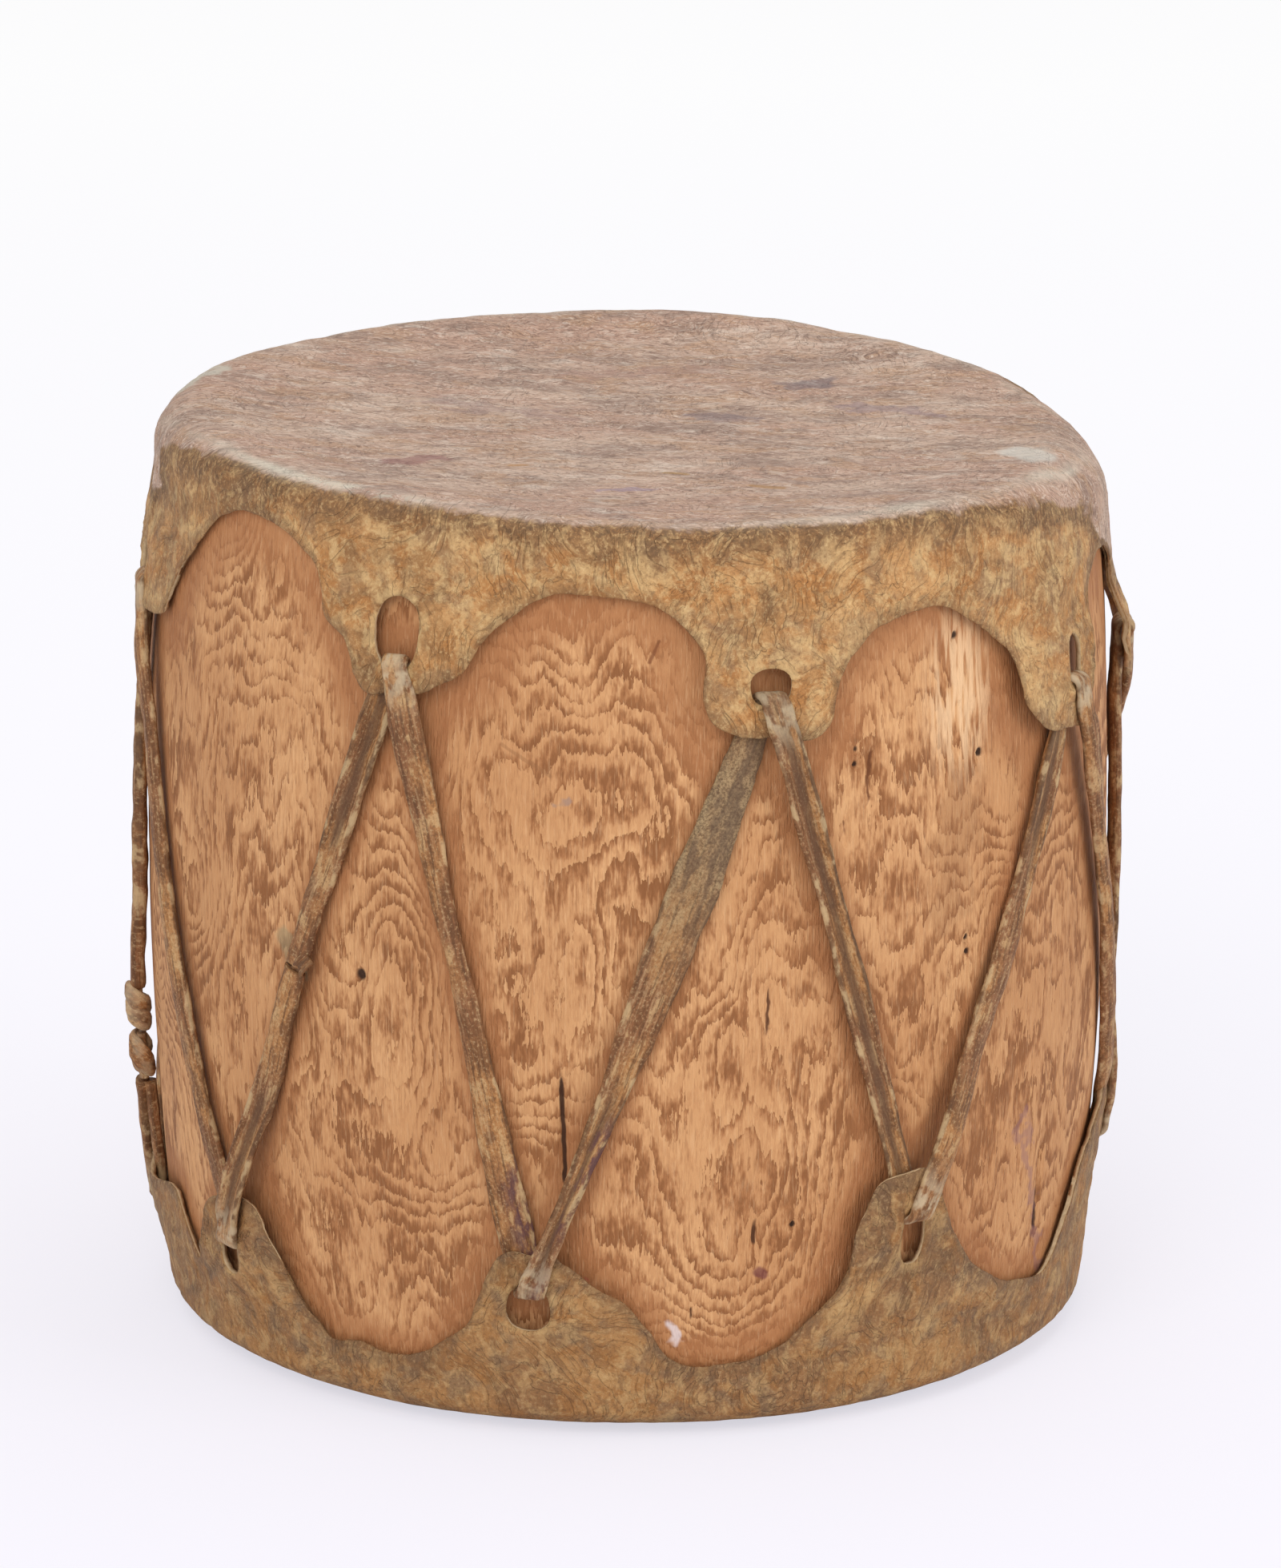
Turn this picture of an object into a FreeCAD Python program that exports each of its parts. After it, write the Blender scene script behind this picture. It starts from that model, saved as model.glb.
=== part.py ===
import FreeCAD, Part
import math
import os

# Rawhide log drum, standing on its lower head: a hollowed log, a hide over each end, and
# one zigzag of rawhide lace that pulls the tabs of the two hides towards each other.
# Millimetres, +Z up. The origin is on the log's axis, in the plane that the drum stands on.
# Angles are in degrees round the drum, from the front (-Y) towards the right (+X).

# Hollowed log
drum_height = 283.0          # over both hides, on the axis
bottom_radius = 141.0        # of the wood, at the foot
middle_radius = 150.0        # of the wood, half way up
top_radius = 143.5           # of the wood, at the top
log_wall = 18.0
rim_round = 8.0              # worn outer edge of both ends
bore_chamfer = 3.0
top_slope = 1.455            # degrees: the upper end is sawn high on the left

# Hides
hide_thickness = 2.0
top_dish = 3.5               # how far the struck head has sunk in its middle
bottom_dish = 2.0
top_skirt = 81.0             # from the drum's top to the tip of its longest tab
bottom_skirt = 81.0          # from the floor to the tip of the longest lower tab
top_lift_start = 20.0        # the skirt leaves the wood here, below the drum's top
top_lift_end = 38.0          # and is clear of the wood by a lace here
bottom_lift_start = 14.0     # the same, above the floor
bottom_lift_end = 28.0
hole_corner = 2.0

# Lace
lace_width = 8.5
lace_fold_width = 6.5        # gathered where it passes through a hole
lace_thickness = 2.2
lace_gather = 25.0           # run in which it spreads to its full width
lace_ramp = 22.0             # run in which it comes down to the wood below a tab
lace_clear = 3.0             # run past a tab's tip before it comes down
run_step = 13.0              # longest straight between two sections of a run

# Knots and ends
upper_knot_low = 86.2        # above the floor
upper_knot_high = 101.0
lower_knot_low = 69.0
knot_width = 13.0            # round the drum
knot_depth = 8.4             # out from the wood
splice_height = 140.0        # where the two laces are joined, above the floor
splice_length = 9.0
splice_width = 11.0
splice_thickness = 3.4
tail_foot = 34.0             # where the tail ends behind its tab, above the floor

# Clearances
fit_gap = 0.3                # between hide, wood, lace and knots
overrun = 12.0               # how far a cutter passes what it cuts
tip_overlap = 2.0            # how far two neighbouring scallop cutters pass each other

# Angles of the knots and of the tail, in degrees
upper_knot_angle = -86.0
lower_knot_angle = -86.5
tail_foot_angle = -87.0

# Step either side of a point of the lace when its direction is found
nudge_share = 0.001

# Counts
fold_steps = 6
ramp_steps = 3


class End:
    """One end of the drum: its plane, the way into the drum, and its skirt's sizes."""

    def __init__(self, height, into, slope, dish, skirt, lift_start, lift_end):
        self.height = height
        self.into = into
        self.slope = slope
        self.dish = dish
        self.skirt = skirt
        self.lift_start = lift_start
        self.lift_end = lift_end

    def level(self, depth):
        return self.height + self.into * depth


top = End(drum_height, -1, top_slope, top_dish, top_skirt, top_lift_start, top_lift_end)
bottom = End(0, 1, 0, bottom_dish, bottom_skirt, bottom_lift_start, bottom_lift_end)

# Tabs, left to right round the drum. Each has the two corners of its tip as angle and
# depth, and its hole as angle, depth of the lip that the lace pulls on, depth of the
# far side, and width. Depths are shares of the skirt, widths are shares of the lace.
top_tab_shares = [
    ((-90.0, 0.66), (-73.0, 0.65), (-80.5, 0.580, 0.444, 1.20)),
    ((-30.8, 0.66), (-23.2, 0.65), (-26.7, 0.531, 0.310, 1.65)),
    ((10.8, 0.79), (20.0, 0.79), (16.0, 0.642, 0.519, 1.45)),
    ((54.5, 0.96), (66.0, 0.95), (61.7, 0.815, 0.617, 1.20)),
    ((87.0, 0.96), (98.5, 0.96), (93.0, 0.850, 0.630, 1.30)),
    ((139.0, 0.74), (150.0, 0.75), (144.5, 0.610, 0.440, 1.30)),
    ((181.5, 0.80), (192.0, 0.79), (187.0, 0.660, 0.500, 1.45)),
    ((224.0, 0.71), (235.5, 0.70), (229.5, 0.570, 0.410, 1.30)),
]
bottom_tab_shares = [
    ((-98.0, 0.52), (-78.0, 0.54), (-92.5, 0.370, 0.230, 1.20)),
    ((-56.8, 0.75), (-48.5, 0.75), (-53.5, 0.556, 0.407, 1.20)),
    ((-15.5, 0.75), (-7.0, 0.75), (-11.0, 0.605, 0.438, 1.55)),
    ((30.5, 0.96), (39.3, 0.94), (35.0, 0.827, 0.605, 1.20)),
    ((81.0, 0.88), (92.0, 0.87), (87.0, 0.704, 0.543, 1.30)),
    ((121.5, 0.79), (133.0, 0.78), (127.5, 0.630, 0.460, 1.30)),
    ((164.5, 0.84), (176.0, 0.85), (170.0, 0.690, 0.520, 1.40)),
    ((207.0, 0.73), (218.0, 0.74), (212.5, 0.580, 0.410, 1.30)),
]

# Scallops between one tab and the next, as angles and shares of the skirt's depth
top_arch_shares = [
    ((-67.0, 0.53), (-62.0, 0.25), (-52.2, 0.125), (-42.0, 0.175), (-36.0, 0.42)),
    ((-19.0, 0.60), (-14.5, 0.37), (-5.8, 0.26), (3.0, 0.32), (8.0, 0.52)),
    ((23.5, 0.60), (30.0, 0.40), (37.5, 0.375), (44.5, 0.43), (51.0, 0.70)),
    ((67.6, 0.78), (68.6, 0.52), (74.0, 0.41), (80.5, 0.44), (84.5, 0.72)),
    ((102.0, 0.72), (109.5, 0.37), (119.0, 0.26), (128.5, 0.34), (135.0, 0.56)),
    ((153.5, 0.52), (158.5, 0.31), (165.5, 0.24), (173.0, 0.33), (178.5, 0.58)),
    ((195.0, 0.58), (200.0, 0.35), (208.0, 0.27), (215.5, 0.31), (220.5, 0.52)),
    ((239.0, 0.50), (244.0, 0.30), (252.0, 0.23), (260.5, 0.30), (266.5, 0.50)),
]
bottom_arch_shares = [
    ((-73.5, 0.52), (-68.5, 0.43), (-63.5, 0.35), (-60.2, 0.44), (-58.0, 0.60)),
    ((-45.5, 0.54), (-40.0, 0.30), (-32.5, 0.22), (-24.0, 0.30), (-18.0, 0.52)),
    ((-3.5, 0.62), (3.0, 0.42), (11.0, 0.28), (20.5, 0.32), (27.0, 0.66)),
    ((42.0, 0.76), (49.0, 0.44), (58.5, 0.35), (69.5, 0.52), (77.0, 0.76)),
    ((95.0, 0.62), (100.0, 0.37), (107.5, 0.30), (114.0, 0.38), (118.5, 0.60)),
    ((136.5, 0.58), (141.5, 0.36), (149.0, 0.29), (156.5, 0.37), (161.0, 0.62)),
    ((179.5, 0.62), (184.5, 0.38), (191.5, 0.32), (198.5, 0.35), (203.5, 0.54)),
    ((221.0, 0.54), (226.5, 0.36), (236.0, 0.28), (247.5, 0.29), (257.0, 0.38)),
]

# Size of a knot along its length, as shares of its length and of its greatest section
knot_profile_shares = [(0.0, 0.72), (0.25, 1.0), (0.5, 0.84), (0.75, 1.0), (1.0, 0.72)]


def vector(x, y, z):
    return FreeCAD.Vector(x, y, z)


def arc_through(low, middle, high):
    """Centre and radius of the circle through three (radius, height) points."""
    ax, ay = low
    bx, by = middle
    cx, cy = high
    d = 2 * (ax * (by - cy) + bx * (cy - ay) + cx * (ay - by))
    a2, b2, c2 = ax * ax + ay * ay, bx * bx + by * by, cx * cx + cy * cy
    ux = (a2 * (by - cy) + b2 * (cy - ay) + c2 * (ay - by)) / d
    uy = (a2 * (cx - bx) + b2 * (ax - cx) + c2 * (bx - ax)) / d
    return ux, uy, math.hypot(ax - ux, ay - uy)


side_centre, side_level, side_radius = arc_through(
    (bottom_radius, 0), (middle_radius, drum_height / 2), (top_radius, drum_height))
side_way = math.copysign(1, middle_radius - side_centre)


def wood_radius(z):
    """Radius of the log's side at a height: one long arc from foot to top."""
    return side_centre + side_way * math.sqrt(side_radius ** 2 - (z - side_level) ** 2)


def outward(angle):
    t = math.radians(angle)
    return vector(math.sin(t), -math.cos(t), 0)


def around(angle):
    t = math.radians(angle)
    return vector(math.cos(t), math.sin(t), 0)


def on_drum(angle, z, offset):
    """Point at an angle and a height, offset out from the wood."""
    return outward(angle) * (wood_radius(z) + offset) + vector(0, 0, z)


def off_wood(angle, z):
    """Unit vector square to the log's side at an angle and a height."""
    rise = side_way * (z - side_level) / math.sqrt(side_radius ** 2 - (z - side_level) ** 2)
    return (outward(angle) + vector(0, 0, rise)).normalize()


def side_arc(offset, z1, z2):
    """Edge along the log's side in the XZ plane, moved out by offset."""
    zm = (z1 + z2) / 2
    ends = [vector(wood_radius(z) + offset, 0, z) for z in (z1, zm, z2)]
    return Part.Arc(*ends).toShape()


def line(a, b):
    return Part.LineSegment(a, b).toShape()


def turned(edges):
    """Solid of a closed XZ outline turned once round the Z axis."""
    face = Part.Face(Part.Wire(edges))
    return face.revolve(vector(0, 0, 0), vector(0, 0, 1), 360)


def beyond(end, depth):
    """Block that holds all that lies outside an end's plane, sunk by depth."""
    reach = middle_radius + overrun + knot_depth
    block = Part.makeBox(2 * reach, 2 * reach, 2 * overrun + drum_height)
    z = end.level(depth)
    if end.into > 0:
        block.translate(vector(-reach, -reach, z - 2 * overrun - drum_height))
    else:
        block.translate(vector(-reach, -reach, z))
    block.rotate(vector(0, 0, z), vector(0, 1, 0), end.slope)
    return block


def end_face(solid, end):
    """The flat face at an end of a solid."""
    flats = [f for f in solid.Faces if f.Surface.TypeId == "Part::GeomPlane"]
    return max(flats, key=lambda f: -end.into * f.CenterOfMass.z)


def rounded_end(solid, end, radius):
    return solid.makeFillet(radius, end_face(solid, end).OuterWire.Edges)


def dish_ball(end, wall):
    """Ball whose cap is the sunken middle of a head, wall thicker all round."""
    rim = top_radius if end.into < 0 else bottom_radius
    mouth = rim - log_wall - bore_chamfer / 2
    ball_radius = (mouth ** 2 + end.dish ** 2) / (2 * end.dish)
    ball = Part.makeSphere(ball_radius + wall)
    ball.translate(vector(0, 0, end.level(end.dish) - end.into * ball_radius))
    ball.rotate(vector(0, 0, end.level(0)), vector(0, 1, 0), end.slope)
    return ball


def log_shell():
    """Barrel-shaped log with a bore that follows its side, cut to length and worn."""
    low, high = -overrun, drum_height + overrun
    outer = turned([side_arc(0, low, high),
                    line(vector(wood_radius(high), 0, high), vector(0, 0, high)),
                    line(vector(0, 0, high), vector(0, 0, low)),
                    line(vector(0, 0, low), vector(wood_radius(low), 0, low))])
    bore = turned([side_arc(-log_wall, low, high),
                   line(vector(wood_radius(high) - log_wall, 0, high), vector(0, 0, high)),
                   line(vector(0, 0, high), vector(0, 0, low)),
                   line(vector(0, 0, low), vector(wood_radius(low) - log_wall, 0, low))])
    seat = hide_thickness + fit_gap
    body = outer
    for end in (top, bottom):
        body = body.cut(beyond(end, seat))
    for end in (top, bottom):
        body = rounded_end(body, end, rim_round)
    body = body.cut(bore)
    for end in (top, bottom):
        mouth = min(end_face(body, end).Wires, key=lambda w: w.BoundBox.DiagonalLength)
        body = body.makeChamfer(bore_chamfer, mouth.Edges)
    return body


def hide_block(end, offset, sunk):
    """Solid bounded by a hide's outer or inner side, with the skirt lifted at the tabs."""
    lift = lace_thickness + fit_gap
    deep = end.level(end.skirt + overrun)
    full = end.level(end.lift_end)
    start = end.level(end.lift_start)
    past = end.level(-overrun)
    block = turned([side_arc(offset + lift, deep, full),
                    line(vector(wood_radius(full) + offset + lift, 0, full),
                         vector(wood_radius(start) + offset, 0, start)),
                    side_arc(offset, start, past),
                    line(vector(wood_radius(past) + offset, 0, past), vector(0, 0, past)),
                    line(vector(0, 0, past), vector(0, 0, deep)),
                    line(vector(0, 0, deep), vector(wood_radius(deep) + offset + lift, 0, deep))])
    block = block.cut(beyond(end, sunk))
    return rounded_end(block, end, rim_round + offset)


def tip_centre(tab):
    (a1, d1), (a2, d2) = tab[0], tab[1]
    return (a1 + a2) / 2, (d1 + d2) / 2


def scallop_cutter(end, left, right, arch, turn):
    """Prism, square to the middle of a scallop, that takes away all below its edge."""
    first, last = tip_centre(left), tip_centre(right)
    points = [first, left[1]] + list(arch)
    points += [(right[0][0] + turn, right[0][1]), (last[0] + turn, last[1])]
    middle = (points[0][0] + points[-1][0]) / 2
    reach = middle_radius + overrun

    def place(angle, share):
        z = end.level(share * end.skirt)
        across = (wood_radius(z) + hide_thickness) * math.sin(math.radians(angle - middle))
        return outward(middle) * reach + around(middle) * across + vector(0, 0, z)

    spots = [place(angle, share) for angle, share in points]
    edge = Part.BSplineCurve()
    edge.interpolate(spots)
    low = end.level(end.skirt + 2 * overrun)
    aside = around(middle) * tip_overlap
    corner_left, corner_right = spots[0] - aside, spots[-1] + aside
    foot_left = vector(corner_left.x, corner_left.y, low)
    foot_right = vector(corner_right.x, corner_right.y, low)
    outline = Part.Wire([edge.toShape(), line(spots[-1], corner_right),
                         line(corner_right, foot_right), line(foot_right, foot_left),
                         line(foot_left, corner_left), line(corner_left, spots[0])])
    return Part.Face(outline).extrude(outward(middle) * -(reach / 2))


def hole_cutter(end, hole):
    """Prism of a stretched hole: straight lip, rounded corners, arched far side."""
    angle, lip_share, far_share, width_share = hole
    half = width_share * lace_width / 2
    height = (lip_share - far_share) * end.skirt
    lip = end.level(lip_share * end.skirt)
    reach = middle_radius + overrun
    c = hole_corner
    k = c * (1 - math.sqrt(0.5))

    def place(u, v):
        return outward(angle) * reach + around(angle) * u + vector(0, 0, lip - end.into * v)

    outline = Part.Wire([
        line(place(-half + c, 0), place(half - c, 0)),
        Part.Arc(place(half - c, 0), place(half - k, k), place(half, c)).toShape(),
        line(place(half, c), place(half, height / 2)),
        Part.Arc(place(half, height / 2), place(0, height), place(-half, height / 2)).toShape(),
        line(place(-half, height / 2), place(-half, c)),
        Part.Arc(place(-half, c), place(-half + k, k), place(-half + c, 0)).toShape()])
    return Part.Face(outline).extrude(outward(angle) * -(overrun + log_wall + knot_depth))


def head(end, tabs, arches):
    """One hide: a dished skin over the rim, its skirt cut into tabs with lace holes."""
    outer = hide_block(end, fit_gap + hide_thickness, 0)
    inner = hide_block(end, fit_gap, hide_thickness)
    skin = outer.cut(dish_ball(end, 0)).cut(inner.cut(dish_ball(end, hide_thickness)))
    for i, left in enumerate(tabs):
        right = tabs[(i + 1) % len(tabs)]
        turn = 360 if i + 1 == len(tabs) else 0
        skin = skin.cut(scallop_cutter(end, left, right, arches[i], turn))
    for tab in tabs:
        skin = skin.cut(hole_cutter(end, tab[2]))
    return max(skin.Solids, key=lambda s: s.Volume)


# Levels of the lace's middle line, out from the wood
wood_level = fit_gap + lace_thickness / 2
fold_radius = hide_thickness / 2 + fit_gap + lace_thickness / 2
fold_level = wood_level + fold_radius
front_level = fold_level + fold_radius


class Anchor:
    """A tab's hole as the lace meets it, with the turns that the route has made."""

    def __init__(self, end, tab, turn):
        self.end = end
        self.angle = tab[2][0] + turn
        self.z = end.level(tab[2][1] * end.skirt)
        self.tip_run = (tip_centre(tab)[1] - tab[2][1]) * end.skirt

    def slope_to(self, other):
        """Way round the drum per way up or down it, on the run to another anchor."""
        across = middle_radius * math.radians(other.angle - self.angle)
        return across / abs(other.z - self.z)


class Free:
    """An end of a lace that isn't at a hole: its angle, height and offset."""

    def __init__(self, angle, z, offset):
        self.angle = angle
        self.z = z
        self.offset = offset


def gathered_width(run):
    return lace_fold_width + (lace_width - lace_fold_width) * min(1.0, run / lace_gather)


def section(centre, along, face, width):
    """Rectangle of the lace square to its run, flat side towards face."""
    along = FreeCAD.Vector(along).normalize()
    face = (face - along * face.dot(along)).normalize()
    aside = along.cross(face) * (width / 2)
    up = face * (lace_thickness / 2)
    ring = [centre + aside + up, centre - aside + up, centre - aside - up, centre + aside - up]
    return Part.makePolygon(ring + ring[:1])


def fold(anchor, slope_in, slope_out):
    """Sections over a hole's lip: a half turn of fold_radius from behind to in front."""
    rim = -anchor.end.into
    off = off_wood(anchor.angle, anchor.z)
    aside = around(anchor.angle)
    to_rim = off.cross(aside) * rim
    centre = on_drum(anchor.angle, anchor.z, 0) + off * fold_level
    rings = []
    for i in range(fold_steps + 1):
        turn = math.pi * i / fold_steps
        slope = slope_in if turn < math.pi / 2 else slope_out
        along = off * math.sin(turn) + to_rim * math.cos(turn)
        away = off * -math.cos(turn) + to_rim * math.sin(turn)
        spot = centre + away * fold_radius + aside * (fold_radius * (turn - math.pi / 2) * slope)
        rings.append(section(spot, along + aside * slope, away * rim, lace_fold_width))
    return rings


def fold_exit_angle(anchor, slope, side):
    """Angle where a fold begins (side -1) or ends (side 1)."""
    shift = side * fold_radius * math.pi / 2 * slope
    return anchor.angle + math.degrees(shift / (wood_radius(anchor.z) + fold_level))


def run_between(start, finish, slope_in):
    """Sections of a straight run over the wood, without the folds at its two ends."""
    at_hole = isinstance(start, Anchor)
    to_hole = isinstance(finish, Anchor)
    slope = middle_radius * math.radians(finish.angle - start.angle) / abs(finish.z - start.z)
    first = fold_exit_angle(start, slope, 1) if at_hole else start.angle
    last = fold_exit_angle(finish, slope, -1) if to_hole else finish.angle
    length = abs(finish.z - start.z)
    way = math.copysign(1, finish.z - start.z)
    end_offset = wood_level if to_hole else finish.offset
    high = ramp = 0
    stations = [0]
    if at_hole:
        apart = (lace_width / math.cos(math.atan(slope)) + lace_clear / 2) / (slope_in + slope)
        high = max(start.tip_run + lace_clear, apart - fold_radius)
        ramp = length - high if length - high < lace_ramp + lace_width else lace_ramp
        stations += [high / 2, high]
        stations += [high + ramp * (i + 1) / ramp_steps for i in range(ramp_steps)]
    rest = length - high - ramp
    steps = math.ceil(rest / run_step)
    stations += [high + ramp + rest * (i + 1) / steps for i in range(steps)]

    def offset(run):
        """Height of the lace over the wood: level, then a smooth ramp, then level."""
        if at_hole:
            share = min(1.0, max(0.0, (run - high) / ramp))
            share = share * share * (3 - 2 * share)
            return front_level + (end_offset - front_level) * share
        down = length - (finish.tip_run + lace_clear if to_hole else 0)
        return start.offset + (end_offset - start.offset) * min(1.0, run / down)

    def spot(run):
        angle = first + (last - first) * run / length
        return on_drum(angle, start.z + way * run, offset(run))

    face_way = -way
    rings = []
    for run in stations:
        ending = run > length * (1 - nudge_share)
        if (run == 0 and at_hole) or (ending and to_hole):
            continue
        if run == 0 or ending:
            along = vector(0, 0, way)
        else:
            along = spot(run * (1 + nudge_share)) - spot(run * (1 - nudge_share))
        angle = first + (last - first) * run / length
        width = gathered_width(length - run) if to_hole else lace_width
        if at_hole:
            width = min(width, gathered_width(run))
        off = off_wood(angle, start.z + way * run)
        rings.append(section(spot(run), along, off * face_way, width))
    return rings


def lace(stops):
    """Solid of a lace that visits its stops in order, folded over each hole's lip."""
    slopes = [middle_radius * math.radians(b.angle - a.angle) / abs(b.z - a.z)
              for a, b in zip(stops, stops[1:])]
    rings = []
    for i, stop in enumerate(stops):
        slope_in = slopes[i - 1] if i else 0
        if isinstance(stop, Anchor):
            rings += fold(stop, slope_in, slopes[i])
        if i + 1 < len(stops):
            rings += run_between(stop, stops[i + 1], slope_in)
    return Part.makeLoft(rings, True, True)


def knot(angle, low, high):
    """Two bulging turns of lace drawn tight, as ellipses along the knot."""
    level = fit_gap + knot_depth / 2
    rings = []
    for along_share, size_share in knot_profile_shares:
        z = low + (high - low) * along_share
        centre = on_drum(angle, z, level)
        across = around(angle) * (size_share * knot_width / 2)
        deep = outward(angle) * (size_share * knot_depth / 2)
        ellipse = Part.Ellipse(centre + across, centre + deep, centre)
        rings.append(Part.Wire(ellipse.toShape()))
    return Part.makeLoft(rings, True, False)


def splice_end(angle, face_slope):
    """Blunt end of the first lace, standing through a slit in the second."""
    z = splice_height
    base = on_drum(angle, z, fit_gap + lace_thickness + fit_gap)
    up = outward(angle)
    along = (vector(0, 0, 1) + around(angle) * face_slope).normalize()
    aside = along.cross(up)
    half_long, half_wide = along * (splice_length / 2), aside * (splice_width / 2)
    corners = [base + half_long + half_wide, base + half_long - half_wide,
               base - half_long - half_wide, base - half_long + half_wide]
    block = Part.Face(Part.makePolygon(corners + corners[:1])).extrude(up * splice_thickness)
    lid = max(block.Faces, key=lambda f: f.CenterOfMass.dot(up))
    return block.makeFillet(splice_thickness / 3, lid.OuterWire.Edges)


def route():
    """Anchors in lacing order: each upper tab, then the next lower tab to its right."""
    stops = []
    for i, upper in enumerate(top_tab_shares):
        after = (i + 1) % len(bottom_tab_shares)
        stops.append(Anchor(top, upper, 0))
        stops.append(Anchor(bottom, bottom_tab_shares[after], 360 if after == 0 else 0))
    return stops


def build():
    parts = {"log_shell": log_shell(),
             "top_head": head(top, top_tab_shares, top_arch_shares),
             "bottom_head": head(bottom, bottom_tab_shares, bottom_arch_shares)}
    anchors = route()
    below, above = anchors[1], anchors[2]
    share = (splice_height - below.z) / (above.z - below.z)
    splice_angle = below.angle + (above.angle - below.angle) * share
    slope = below.slope_to(above)
    knot_level = fit_gap + knot_depth / 2
    start = Free(upper_knot_angle, upper_knot_high + fit_gap, knot_level)
    cut_below = Free(splice_angle, splice_height - fit_gap / 2, wood_level)
    cut_above = Free(splice_angle, splice_height + fit_gap / 2, wood_level)
    finish = Free(lower_knot_angle + 360, lower_knot_low - fit_gap,
                  fit_gap + knot_depth - lace_thickness)
    parts["short_lace"] = lace([start] + anchors[:2] + [cut_below])
    parts["long_lace"] = lace([cut_above] + anchors[2:] + [finish])
    parts["lace_tail"] = lace([Free(lower_knot_angle, lower_knot_low - fit_gap,
                                    wood_level + fit_gap),
                               Free(tail_foot_angle, tail_foot, wood_level)])
    parts["upper_knot"] = knot(upper_knot_angle, upper_knot_low, upper_knot_high)
    parts["lower_knot"] = knot(lower_knot_angle, lower_knot_low, upper_knot_low - fit_gap)
    parts["splice_end"] = splice_end(splice_angle, slope)
    return parts


os.makedirs("parts", exist_ok=True)
for name, shape in build().items():
    print(name, shape.isValid(), len(shape.Solids), round(shape.Volume))
    shape.exportStep("parts/" + name + ".step")
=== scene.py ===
import math

import bpy
import mathutils
import numpy as np
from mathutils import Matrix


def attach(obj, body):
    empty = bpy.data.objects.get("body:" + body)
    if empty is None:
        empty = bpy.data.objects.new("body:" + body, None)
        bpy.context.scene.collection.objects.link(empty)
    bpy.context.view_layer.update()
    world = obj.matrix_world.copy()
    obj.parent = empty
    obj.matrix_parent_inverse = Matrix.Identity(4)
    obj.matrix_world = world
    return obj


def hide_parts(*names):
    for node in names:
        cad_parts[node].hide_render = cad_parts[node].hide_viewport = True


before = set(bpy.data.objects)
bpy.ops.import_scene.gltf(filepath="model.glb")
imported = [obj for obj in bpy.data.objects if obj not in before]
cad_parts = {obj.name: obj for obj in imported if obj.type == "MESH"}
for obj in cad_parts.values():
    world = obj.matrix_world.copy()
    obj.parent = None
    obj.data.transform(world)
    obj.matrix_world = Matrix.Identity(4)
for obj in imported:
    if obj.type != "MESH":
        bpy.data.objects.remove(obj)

bl_info = {
    "name": "Rawhide Log Drum",
    "version": (1, 0, 0),
    "blender": (4, 5, 0),
    "location": "View3D > Sidebar > Drum",
    "description": "A hollowed log with two rawhide heads, laced together",
    "category": "Add Mesh",
}

# The drum stands on z = 0 round the Z axis. Lengths are in millimetres, and angles in
# degrees round the drum, from the front (-Y) towards the right (+X).
MM = 0.001

# Side of the log: radius at the foot, half way up and at the top, and the height. Then the
# slope of its sawn top, the wall round its bore, the length of a skirt with a share of 1,
# the gap between pieces, and the way once round and for one degree
FOOT_RADIUS = 141.0
MIDDLE_RADIUS = 150.0
TOP_RADIUS = 143.5
HEIGHT = 283.0
TOP_SLOPE = math.tan(math.radians(1.455))
BORE_WALL = 18.0
SKIRT = 81.0
GAP = 0.3
GIRTH = 2 * math.pi * MIDDLE_RADIUS
PER_DEGREE = GIRTH / 360

# Tabs of each head: the tip's two corners (angle, share of the skirt), and the hole (angle,
# lip and far side as shares, width in mm), then how the tab stands off the wood: by how
# much, where down the tab that starts and is full, and how far round it reaches.
TOP_TABS = [
    ((-90.0, .66), (-73.0, .65), (-80.5, .585, .420, 8.6), (1.3, .30, .62, 8)),
    ((-30.8, .655), (-23.6, .64), (-26.7, .560, .298, 14.4), (2.8, .25, .75, 10)),
    ((11.6, .755), (21.0, .78), (16.0, .655, .519, 12.3), (2.8, .25, .75, 10)),
    ((55.6, .94), (63.8, .975), (61.7, .815, .617, 7.6), (3.2, .30, .80, 10)),
    ((87.0, .96), (98.5, .96), (93.0, .850, .630, 11.0), (4.4, .60, .82, 11)),
    ((139.0, .74), (150.0, .75), (144.5, .610, .440, 11.0), (3.0, .25, .75, 10)),
    ((181.5, .80), (192.0, .79), (187.0, .660, .500, 12.3), (2.8, .25, .75, 10)),
    ((224.0, .71), (235.5, .70), (229.5, .570, .410, 11.0), (3.0, .25, .75, 10)),
]
BOTTOM_TABS = [
    ((-98.0, .52), (-78.0, .54), (-92.5, .370, .230, 10.2), (2.4, .30, .80, 12)),
    ((-56.4, .69), (-48.6, .745), (-53.5, .570, .407, 9.0), (3.0, .25, .75, 10)),
    ((-13.6, .742), (-8.0, .75), (-11.0, .615, .438, 13.4), (2.8, .25, .75, 10)),
    ((30.8, .975), (36.8, .98), (35.0, .827, .605, 8.4), (3.0, .30, .80, 10)),
    ((81.0, .88), (92.0, .87), (87.0, .704, .543, 11.0), (1.4, .55, .90, 11)),
    ((121.5, .79), (133.0, .78), (127.5, .630, .460, 11.0), (3.0, .25, .75, 10)),
    ((164.5, .84), (176.0, .85), (170.0, .690, .520, 11.9), (2.8, .25, .75, 10)),
    ((207.0, .73), (218.0, .74), (212.5, .580, .410, 11.0), (3.0, .25, .75, 10)),
]
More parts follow.
